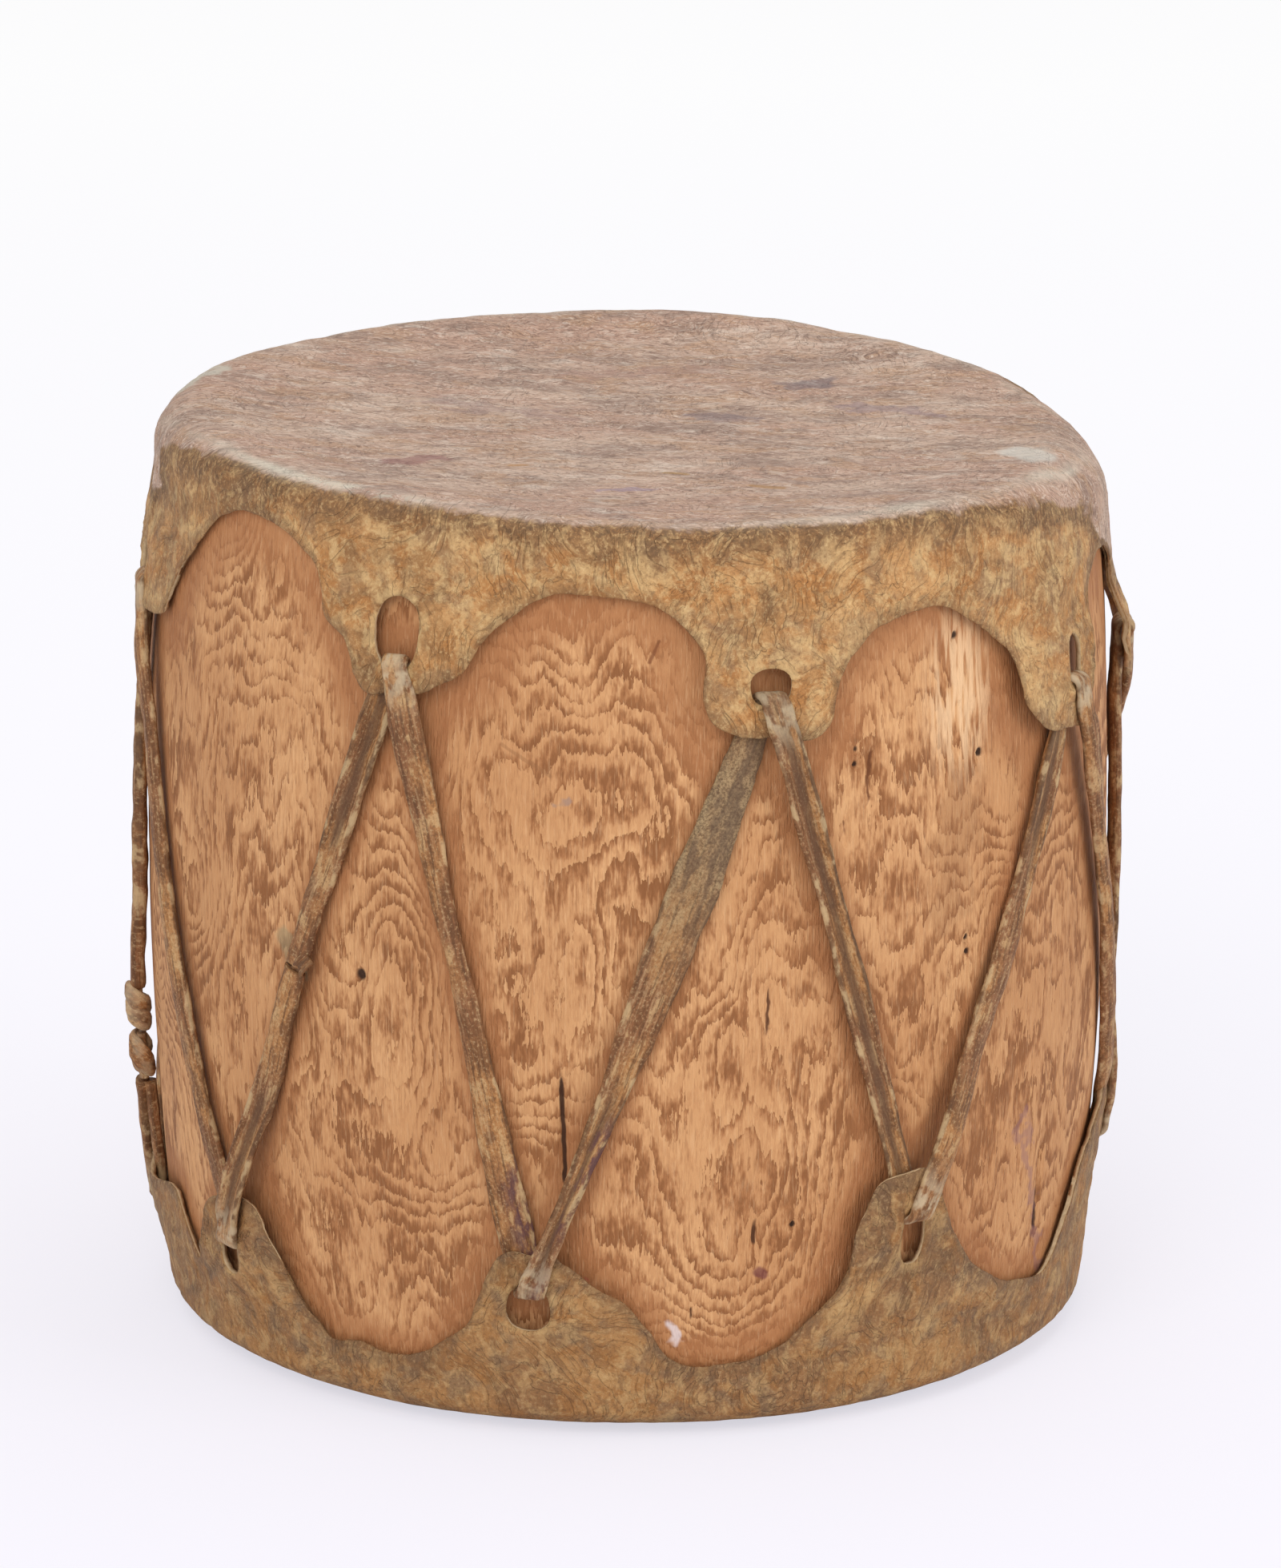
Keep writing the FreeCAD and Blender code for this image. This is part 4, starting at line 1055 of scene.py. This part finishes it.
def add_node(tree, kind, inputs=(), out=0, **settings):
    """Adds a shader node with its settings, and gives one of its outputs. Inputs come in the
    node's own order or by name: a socket is linked, and any other value is set."""
    made = tree.nodes.new("ShaderNode" + kind)
    for key, value in settings.items():
        setattr(made, key, value)
    for key, value in (inputs.items() if isinstance(inputs, dict) else enumerate(inputs)):
        if isinstance(value, bpy.types.NodeSocket):
            tree.links.new(value, made.inputs[key])
        else:
            made.inputs[key].default_value = value
    return made.outputs[out] if len(made.outputs) else None


def new_material(name):
    material = bpy.data.materials.new(name)
    material.use_nodes = True
    material.node_tree.nodes.clear()
    return material


class Finish:
    """One material in the making: patterns sized in millimetres, laid over each other."""

    def __init__(self, name):
        self.material = new_material(name)
        place = self.add("TexCoord", out="Object")
        self.place = self.add("VectorMath", {0: place, 3: 1 / MM}, operation="SCALE")

    def add(self, kind, inputs=(), out=0, **settings):
        return add_node(self.material.node_tree, kind, inputs, out, **settings)

    def weigh(self, start, *terms):
        """Sum of the start and of each pattern times its weight."""
        total = start
        for pattern, weight in terms:
            total = self.add("Math", (pattern, weight, total), operation="MULTIPLY_ADD")
        return total

    def grain(self, size, detail=2.0, at=None, shift=0.0, roughness=.5):
        """Noise, 0 to 1, with features of that size in millimetres along x, y and z."""
        moved = self.add("VectorMath", (at or self.place, tuple(1 / s for s in size), (shift,) * 3),
                         operation="MULTIPLY_ADD")
        return self.add("TexNoise", {"Vector": moved, "Scale": 1.0, "Detail": detail, "Roughness": roughness})

    def stir(self, size, amount, shift):
        """Places moved about by up to that many millimetres, so that streaks swirl."""
        moved = self.add("VectorMath", (self.place, (1 / size,) * 3, (shift,) * 3), operation="MULTIPLY_ADD")
        drift = self.add("TexNoise", {"Vector": moved, "Scale": 1.0, "Detail": 2.0}, out="Color")
        drift = self.add("VectorMath", (drift, (.5, .5, .5)), operation="SUBTRACT")
        return self.add("VectorMath", (drift, (amount * 2,) * 3, self.place), operation="MULTIPLY_ADD")

    def veins(self, pattern, reach, core):
        """Thin lines where the pattern crosses its middle value."""
        away = self.add("Math", (self.weigh(-.5, (pattern, 1.0)),), operation="ABSOLUTE")
        return self.add("MapRange", (away, reach, core), **SOFT)

    def lay(self, base, colour, pattern, low=None, high=None, strength=1.0):
        """Lays a colour over the base: as far as the pattern goes or, where low and high are
        given, from nothing at low to the full strength at high."""
        if low is None:
            share = self.weigh(0.0, (pattern, strength))
        else:
            share = self.add("MapRange", (pattern, low, high, 0.0, strength), **SOFT)
        under, over = (linear(c) if isinstance(c, str) else c for c in (base, colour))
        return self.add("Mix", {0: share, 6: under, 7: over}, out=2, data_type="RGBA")

    def coats(self, base, *rows):
        """Lays one colour after the other over the base."""
        for row in rows:
            base = self.lay(base, *row)
        return base

    def mark(self, base, place, start, stop, half, colour, strength):
        """Stain or crack along the line from start to stop, with soft sides: the distance is
        taken to the nearest point of the line."""
        along = [b - a for a, b in zip(start, stop)]
        square = sum(d * d for d in along)
        away = self.add("VectorMath", (place, tuple(start)), operation="SUBTRACT")
        reach = self.add("VectorMath", (away, tuple(d / square for d in along)), out="Value",
                         operation="DOT_PRODUCT")
        foot = self.add("VectorMath", {0: tuple(along), 3: self.add("Clamp", (reach,))}, operation="SCALE")
        away = self.add("VectorMath", (away, foot), out="Value", operation="DISTANCE")
        return self.lay(base, colour, away, half * 1.25, half * .55, strength)

    def finish(self, colour, roughness, height, relief, shine=.5):
        """The material, with the height pattern raised by up to that many millimetres."""
        bump = self.add("Bump", {"Height": height, "Distance": relief * MM, "Strength": 1.0})
        shader = self.add("BsdfPrincipled", {"Base Color": colour, "Roughness": roughness, "Normal": bump,
                                             "Specular IOR Level": shine})
        self.add("OutputMaterial", {"Surface": shader})
        return self.material


def wood_material(colours):
    """Dry softwood, debarked and hand cut: pale tan early wood, and reddish-brown late wood
    that ends at a toothed line on one side and fades on the other. Matt, and browner beside
    the laces and the hides' edges, partly polish from hands and partly painted shade."""
    m = Finish("debarked_softwood")
    teeth = m.grain((.85, .85, 4.6), 3.0, roughness=.6)
    tongues = m.grain((2.5, 2.5, 9), shift=31.0)
    rings = m.add("Attribute", out="Fac", attribute_name="rings")
    height = m.weigh(rings, (tongues, 7.0), (teeth, 5.5))
    share = m.add("Math", (m.weigh(0.0, (height, 1 / RING_STEP)),), operation="FRACT")
    saw = m.weigh(1.0, (share, -1.0))
    patchy = m.grain((13, 13, 22), 3.0, shift=77.0, roughness=.55)
    spots = m.grain((1.8, 1.8, 4.6), 3.0, shift=19.0)
    fine = m.grain((.7, .7, 4.5), shift=12.0)
    area = m.grain((40, 40, 60), shift=140.0)
    tone = m.grain((46, 46, 90), shift=5.0)
    lines = m.grain((.5, .5, 9), shift=91.0)
    late = m.weigh(0.0, (patchy, 1.8), (area, .7), (saw, .75), (fine, .7), (spots, 1.2))
    deepest = m.lay("#7E4D2A", "#96623A", m.grain((7, 7, 16), shift=51.0))
    base = m.coats(tuple(colours.early_wood), ("#C79162", tone, .38, .62),
                   ("#BE875A", m.weigh(late, (fine, 1.6)), 2.95, 3.20, .5),
                   (tuple(colours.late_wood), late, 2.48, 2.86, .88), (deepest, late, 2.76, 3.06, .85))
    by_lace, by_skirt, torn = (m.add("Attribute", out="Fac", attribute_name=key)
                               for key in ("by_lace", "by_skirt", "torn"))
    # Browner near the laces and under the hides' edges: partly polish from hands, partly painted shade
    handled_and_shaded = m.weigh(m.add("MapRange", (by_lace, 14.0, 4.0), **SOFT),
                      (m.add("MapRange", (by_skirt, 17.0, 3.0), **SOFT), 1.0), (patchy, .9))
    bright = m.add("MapRange", (m.grain((1.8, 1.8, 20), shift=14.0), .4, .56, 0.0, .85), **SOFT)
    base = m.coats(base, (m.lay("#B67B4E", "#A16841", tone), handled_and_shaded, .75, 1.5, .8),
                   ("#8A5836", lines, .56, .72, .34), ("#EBC093", lines, .44, .32, .2),
                   ("#EEC498", torn, None, None, bright))
    steady = m.stir(9.0, 1.0, 6.0)
    # A crack's dark colour is painted shade inside it; the stains are the wood's own marks
    for rows, depth, spread in ((CRACKS, 1.75, .35), (STAINS, .5, .15)):
        for start, stop, half, wander, colour, strength in rows:
            ends = [tuple(round_drum(a, float(wood_radius(z)) - depth, z).tolist()) for a, z in (start, stop)]
            place = m.stir(7.0, wander, 2.0) if wander > 1.5 else steady
            base = m.mark(base, place, *ends, half + spread, colour, strength)
    # Each beetle hole is painted dark: painted shade inside the hole
    for angle, z, radius in BEETLE_HOLES:
        spot = round_drum(angle, float(wood_radius(z)) - 1.9, z).tolist()
        base = m.mark(base, m.place, spot, [*spot[:2], spot[2] + .3], radius + .45, "#2E1A10", .95)
    late_relief = m.add("MapRange", (late, 2.46, 3.04), **SOFT)
    relief = m.weigh(0.0, (fine, .5), (late_relief, -.5), (teeth, .35), (lines, .6))
    return m.finish(base, .72, relief, .5, .25)


def hide_material(name, face, skirt, marks):
    """Dried rawhide, matt. The struck face is mauve with fine hair-like fibres along x. The
    skirt is ochre, mottled with cream, gold and grey, with painted shade in a band under
    the crease, in its fold valleys and partly along its cut edge. The pale crest is partly
    rubbed off by hands and beaters and partly a painted highlight."""
    m = Finish(name)
    over, fold, by_cut, by_hole, rim = (m.add("Attribute", out="Fac", attribute_name=key)
                                        for key in ("over", "fold", "edge", "hole", "worn"))
    stirred = m.stir(16.0, 7.0, 3.0)
    swept = m.stir(48.0, 34.0, 23.0)
    hair = m.grain((4.2, .9, .9), 4.0, at=m.stir(13.0, 9.0, 13.0), shift=9.0, roughness=.66)
    clouds = [m.grain((long, wide, wide), 4.0, at=stirred, shift=shift, roughness=.6)
              for long, wide, shift in ((30, 13, 44.0), (22, 11, 83.0), (16, 7, 155.0))]
    creased = m.veins(m.grain((34, 6, 6), 3.0, at=stirred, shift=130.0), .020, .002)
    top = m.coats(face["base"], (face["warm"], m.grain((60, 34, 34), 3.0), .38, .62),
                  (face["grey"], clouds[0], .48, .62, .75), (face["ochre"], clouds[1], .50, .62, .65),
                  (face["pale"], clouds[2], .54, .66, .35), (face["fibre"], hair, .51, .64, .6),
                  (face["pale"], hair, .48, .35, .55), (face["fibre"], creased, None, None, .4))
    steady = m.stir(15.0, 3.0, 60.0)
    for start, stop, half, wander, colour, strength in marks:
        ends = [(x, y, float(top_level(x)) - 2.0) for x, y in (start, stop)]
        place = m.stir(11.0, wander, 60.0) if wander > 5 else steady
        top = m.mark(top, place, *ends, half, colour, strength)

    patches = m.grain((26, 26, 20), 3.0, at=stirred)
    spots = m.grain((6.5, 6.5, 7), 4.0, at=stirred, shift=21.0, roughness=.62)
    flow = m.grain((3.4, 3.4, 15), 4.0, at=swept, shift=15.0, roughness=.6)
    fur = m.grain((1.3, 1.3, 1.5), 5.0, at=m.stir(7.0, 2.4, 33.0), shift=5.0, roughness=.76)
    # Painted shade in a band under the crease: the skirt is darkened there and takes olive-dark hair
    under = m.weigh(over, (spots, 14.0))
    crease_shade = m.add("MapRange", (under, 17.0, 9.0, 0.0, .6), **SOFT)
    crease_shade_colour = m.lay(skirt["hair"], "#5F5645", patches)
    by_edge = m.weigh(by_cut, (spots, -9.0))
    wrinkles = m.veins(m.grain((5, 5, 22), 3.0, at=swept, shift=65.0), .030, .0)
    deep = m.add("MapRange", (patches, .44, .60, 0.0, .32), **SOFT)
    low = m.coats(skirt["base"], (skirt["brown"], patches, .43, .57),
                  (skirt["dark"], m.grain((34, 34, 24), 3.0, at=stirred, shift=120.0), .50, .62, .5),
                  (skirt["grey"], m.grain((13, 13, 12), 4.0, at=stirred, shift=97.0, roughness=.6),
                   .48, .62, .65),
                  (skirt["gold"], m.grain((10, 10, 9), 4.0, at=stirred, shift=61.0), .48, .62, .7),
                  (skirt["cream"], spots, .49, .62, .5),
                  # fold valleys are darker as painted shade; fold ridges are paler
                  (skirt["dark"], fold, -.05, -.75, .6), (skirt["cream"], fold, .1, .9, .4),
                  # painted shade under the crease
                  (skirt["dark"], under, 20.0, 9.0, .7), (crease_shade_colour, fur, .44, .58, crease_shade),
                  # darker along the cut edge: partly the hide's own colour, partly painted shadow under the
                  # lifted edge
                  (skirt["dark"], by_edge, .5, -3.5, .5), (skirt["dark"], flow, .54, .66, .42),
                  (skirt["cream"], flow, .46, .34, .3), (skirt["hair"], fur, .51, .64, .46),
                  (skirt["fleck"], fur, .48, .35, .34), (skirt["hair"], wrinkles, None, None, deep))

    # The pale crest: partly rubbed off, partly a painted highlight
    scuff_and_highlight = m.add("MapRange", (m.weigh(patches, (hair, 1.0)), .82, 1.02, 0.0, .85), **SOFT)
    lip = m.add("MapRange", (spots, .4, .56, 0.0, .6), **SOFT)
    base = m.coats(top, (low, m.weigh(over, (spots, 7.0)), 2.2, 4.8), ("#DCD3C0", rim, None, None, scuff_and_highlight),
                   (skirt["cream"], by_hole, 1.5, 1.0, lip))
    height = m.weigh(spots, (fur, .8), (hair, .4), (wrinkles, -.5), (flow, 1.4))
    return m.finish(base, .62, height, .55, .3)


def edge_material():
    """Cut edge of rawhide, paler than its faces and finely fibred."""
    m = Finish("rawhide_cut_edge")
    fibre = m.grain((1.5, 1.5, 1.5), 3.0)
    return m.finish(m.lay("#A27E56", "#DEC69E", fibre), .7, fibre, .3)


def lace_material(colours):
    """Dried rawhide lace, made once for all the laces and knots: olive-brown, blotched and
    speckled, streaked along its length, with painted shade in its groove and along its
    edges, paler on its ridges, partly from wear and partly as a painted highlight, and pale
    where it folds."""
    found = bpy.data.materials.get("rawhide_lacing")
    if found:
        return found
    m = Finish("rawhide_lacing")
    along, across, front, side, cup, pale, stain, fur = (
        m.add("Attribute", out="Fac", attribute_name=key)
        for key in ("along", "across", "front", "side", "cup", "pale", "stain", "fur"))
    run = m.add("CombineXYZ", (along, across, front))
    side = m.add("Math", (side,), operation="ABSOLUTE")
    streak = m.grain((20, 1.1, 1.0), 4.0, at=run, roughness=.62)
    blotch = m.grain((9, 4.0, 3.0), 4.0, at=run, shift=17.0, roughness=.62)
    broad = m.grain((38, 14, 9), at=run, shift=57.0)
    speck = m.grain((1.1, .9, .9), 4.0, at=run, shift=5.0, roughness=.7)
    # Painted shade in the groove where the strip cups and along its edges; the paler ridges are partly wear
    # and partly a painted highlight
    groove_shade = m.add("MapRange", (cup, -.5, -1.5, 0.0, .72), **SOFT)
    shaded = m.add("MapRange", (broad, .62, .42, 0.0, .75), **SOFT)
    ridge_wear_and_highlight = m.add("MapRange", (blotch, .50, .40, 0.0, .7), **SOFT)
    creased = m.add("MapRange", (m.grain((5, 3, 3), 3.0, at=run, shift=81.0), .40, .58, 0.0, .8), **SOFT)
    stained = m.add("MapRange", (blotch, .42, .56, 0.0, .8), **SOFT)
    fuzz = m.grain((.8, .8, .8), 4.0, shift=3.0, roughness=.75)
    hairy = m.coats("#594632", ("#AA906A", fuzz, .36, .64), ("#5C493A", blotch, .45, .6, .6))
    base = m.coats(tuple(colours.colour), ("#8B5B38", broad, .40, .60),
                   ("#714828", blotch, .48, .60, .8), ("#C59E6E", blotch, .46, .35, .7),
                   ("#5C3A21", streak, .52, .63, .7), ("#C4A076", streak, .47, .36, .4),
                   ("#5C3E25", speck, .52, .64, .5), ("#D2B284", speck, .47, .35, .42),
                   # groove and edges: painted shade; ridges: partly painted highlight
                   (m.lay("#4E3524", "#6A4A32", broad), m.weigh(side, (streak, .9)), 1.05, .62, groove_shade),
                   ("#5A412C", side, .80, .98, shaded), ("#C2A47A", side, .62, .92, ridge_wear_and_highlight),
                   ("#C9B494", pale, None, None, creased), ("#5C3A42", stain, None, None, stained),
                   (hairy, fur, None, None, .8))
    height = m.weigh(0.0, (speck, .5), (blotch, .8), (streak, 1.0))
    return m.finish(base, .6, height, .6, .3)


# Stage

def soft_box(name, power, size, place, aim):
    """Rectangular light at a place, in metres, turned towards the aim."""
    light = bpy.data.lights.new(name, "AREA")
    light.shape = "RECTANGLE"
    light.size, light.size_y = size
    light.energy = power
    obj = bpy.data.objects.new(name, light)
    obj.location = place
    direction = mathutils.Vector(aim) - mathutils.Vector(place)
    obj.rotation_euler = direction.to_track_quat("-Z", "Y").to_euler()
    bpy.context.scene.collection.objects.link(obj)


def floor_material():
    """Pale studio floor: a matt surface with a glow that only the camera sees, which keeps the
    background even and lets the drum's soft shadow show."""
    material = new_material("pale_floor")
    tree = material.node_tree
    place = add_node(tree, "SeparateXYZ", (add_node(tree, "TexCoord", out="Object"),), out=1)
    far = add_node(tree, "MapRange", (place, *GLOW_REACH))
    shade = add_node(tree, "Mix", {0: far, 6: linear("#ECEAF4"), 7: linear("#FFFFFF")}, out=2,
                     data_type="RGBA")
    glow = add_node(tree, "Emission", (shade, GLOW_STRENGTH))
    seen = add_node(tree, "Math", (add_node(tree, "LightPath", out="Is Camera Ray"), GLOW_SHARE),
                    operation="MULTIPLY")
    body = add_node(tree, "BsdfDiffuse", (linear("#F4F3F6"),))
    add_node(tree, "OutputMaterial", (add_node(tree, "MixShader", (seen, body, glow)),))
    return material


def studio_world():
    """Even, dim light from all round, behind a nearly white background."""
    world = bpy.data.worlds.new("studio")
    world.use_nodes = True
    tree = world.node_tree
    tree.nodes.clear()
    light = add_node(tree, "Background", (linear("#FFFFFF"), WORLD_STRENGTH))
    seen = add_node(tree, "Background", (linear("#FAFAFE"), 1.0))
    camera = add_node(tree, "LightPath", out="Is Camera Ray")
    add_node(tree, "OutputWorld", (add_node(tree, "MixShader", (camera, light, seen)),))
    return world


def add_camera(scene, settings):
    data = bpy.data.cameras.new("camera")
    data.lens = settings.lens
    data.sensor_width = SENSOR
    camera = bpy.data.objects.new("camera", data)
    turn = mathutils.Matrix.Identity(4)
    for angle, axis in CAMERA_TURNS:
        turn = turn @ mathutils.Matrix.Rotation(angle, 4, axis)
    camera.rotation_euler = turn.to_euler()
    camera.location = (CAMERA_SIDE * MM, -settings.distance, settings.height)
    scene.collection.objects.link(camera)
    scene.camera = camera


# Add-on

def paint(obj, *materials):
    for material in materials:
        obj.data.materials.append(material)


def length(name, description, default, low, high):
    return bpy.props.FloatProperty(name=name, description=description, default=default * MM,
                                   min=low * MM, max=high * MM, unit="LENGTH", precision=4)


def amount(name, description, low, high):
    return bpy.props.FloatProperty(name=name, description=description, default=1.0, min=low, max=high)


def colour(name, description, code):
    return bpy.props.FloatVectorProperty(name=name, description=description, default=linear(code),
                                         size=4, min=0, max=1, subtype="COLOR")


class DRUM_PG_log(bpy.types.PropertyGroup):
    relief: amount("Relief", "Depth of the cuts in the wood", 0, 2)
    early_wood: colour("Early wood", "Pale part of each growth ring", "#D8A473")
    late_wood: colour("Late wood", "Dark part of each growth ring", "#A66E44")


class DRUM_PG_hides(bpy.types.PropertyGroup):
    thickness: length("Hide thickness", "Thickness of both rawhide heads", 1.9, 1.0, 2.0)
    lift: amount("Tab lift", "How far the tabs stand off the wood", .8, 1.3)
    relief: amount("Relief", "Depth of the hides' wrinkles", 0, 2)
    face: colour("Struck face", "Main colour of the struck face", STRUCK_FACE["base"])
    skirt: colour("Skirt", "Main colour of the upper hide's skirt", STRUCK_SKIRT["base"])


class DRUM_PG_laces(bpy.types.PropertyGroup):
    colour: colour("Lace", "Main colour of the laces", "#AE7947")


class DRUM_PG_stage(bpy.types.PropertyGroup):
    distance: length("Camera distance", "From the drum's axis to the camera", 2378.0, 1000, 5000)
    height: length("Camera height", "Above the floor", 835.1, 0, 3000)
    lens: bpy.props.FloatProperty(name="Lens", description="Focal length of the camera",
                                  default=181.4, min=20, max=400, unit="CAMERA")
    key: bpy.props.FloatProperty(name="Soft box", description="Power of the large light in front",
                                 default=31.0, min=0, max=500, unit="POWER")


class DRUM_OT_laces(bpy.types.Operator):
    """Add the two laces and the tail"""
    bl_idname = "drum.laces"
    bl_label = "Laces"

    def execute(self, context):
        for (name, parts, *extras), piece in zip(lace_pieces(), ("short_lace", "long_lace", "lace_tail")):
            obj = lace_mesh(name, parts, *extras)
            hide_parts(piece)
            paint(obj, lace_material(context.scene.drum_laces))
        return {"FINISHED"}


class DRUM_OT_knots(bpy.types.Operator):
    """Add the two knots on the left, where the second lace is tied to the first"""
    bl_idname = "drum.knots"
    bl_label = "Knots"

    def execute(self, context):
        for name, piece, *shape in KNOTS:
            obj = coil(name, *shape)
            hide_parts(piece)
            paint(obj, lace_material(context.scene.drum_laces))
        return {"FINISHED"}


class DRUM_OT_joint(bpy.types.Operator):
    """Add the first lace's end, where the second lace takes over"""
    bl_idname = "drum.joint"
    bl_label = "Joint of the laces"

    def execute(self, context):
        obj = splice_stub()
        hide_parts("splice_end")
        paint(obj, lace_material(context.scene.drum_laces))
        return {"FINISHED"}


class DRUM_OT_log(bpy.types.Operator):
    """Add the hollowed log"""
    bl_idname = "drum.log"
    bl_label = "Log"

    def execute(self, context):
        settings = context.scene.drum_log
        obj = build_log(settings)
        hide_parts("log_shell")
        paint(obj, wood_material(settings))
        return {"FINISHED"}


class DRUM_OT_heads(bpy.types.Operator):
    """Add the two rawhide heads"""
    bl_idname = "drum.heads"
    bl_label = "Heads"

    def execute(self, context):
        settings = context.scene.drum_hides
        face = {**STRUCK_FACE, "base": tuple(settings.face)}
        skirt = {**STRUCK_SKIRT, "base": tuple(settings.skirt)}
        edge = edge_material()
        looks = (hide_material("struck_rawhide", face, skirt, FACE_MARKS),
                 hide_material("lower_rawhide", LOWER_FACE, LOWER_SKIRT, []))
        for end, look in zip((TOP, BOTTOM), looks):
            obj = build_head(end, settings)
            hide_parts(end.name)
            paint(obj, look, edge)
        return {"FINISHED"}


class DRUM_OT_stage(bpy.types.Operator):
    """Add the floor, the lights and the camera"""
    bl_idname = "drum.stage"
    bl_label = "Stage"

    def execute(self, context):
        mesh = bpy.data.meshes.new("floor")
        corners = [(x * FLOOR_HALF, y * FLOOR_HALF, 0) for x, y in ((-1, -1), (1, -1), (1, 1), (-1, 1))]
        mesh.from_pydata(corners, [], [(0, 1, 2, 3)])
        mesh.materials.append(floor_material())
        floor = bpy.data.objects.new("floor", mesh)
        context.scene.collection.objects.link(floor)
        context.scene.world = studio_world()
        for name, power, *light in SOFT_BOXES:
            soft_box(name, power or context.scene.drum_stage.key, *light)
        add_camera(context.scene, context.scene.drum_stage)
        context.scene.view_settings.view_transform = "Standard"
        return {"FINISHED"}


OPERATORS = (DRUM_OT_laces, DRUM_OT_knots, DRUM_OT_joint, DRUM_OT_log, DRUM_OT_heads, DRUM_OT_stage)
GROUPS = {"drum_log": DRUM_PG_log, "drum_hides": DRUM_PG_hides, "drum_laces": DRUM_PG_laces,
          "drum_stage": DRUM_PG_stage}


class DRUM_PT_panel(bpy.types.Panel):
    """Lists the pieces of the drum, its stage and their settings"""
    bl_idname = "DRUM_PT_panel"
    bl_label = "Rawhide Log Drum"
    bl_space_type = "VIEW_3D"
    bl_region_type = "UI"
    bl_category = "Drum"

    def draw(self, context):
        for operator in OPERATORS:
            self.layout.operator(operator.bl_idname)
        for key, group in GROUPS.items():
            box = self.layout.box()
            for name in group.__annotations__:
                box.prop(getattr(context.scene, key), name)


CLASSES = (*GROUPS.values(), *OPERATORS, DRUM_PT_panel)


def register():
    for cls in CLASSES:
        bpy.utils.register_class(cls)
    for key, group in GROUPS.items():
        setattr(bpy.types.Scene, key, bpy.props.PointerProperty(type=group))


def unregister():
    for key in GROUPS:
        delattr(bpy.types.Scene, key)
    for cls in reversed(CLASSES):
        bpy.utils.unregister_class(cls)


def main():
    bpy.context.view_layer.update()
    register()
    for operator in OPERATORS:
        group, action = operator.bl_idname.split(".")
        getattr(getattr(bpy.ops, group), action)()


if __name__ == "__main__":
    main()
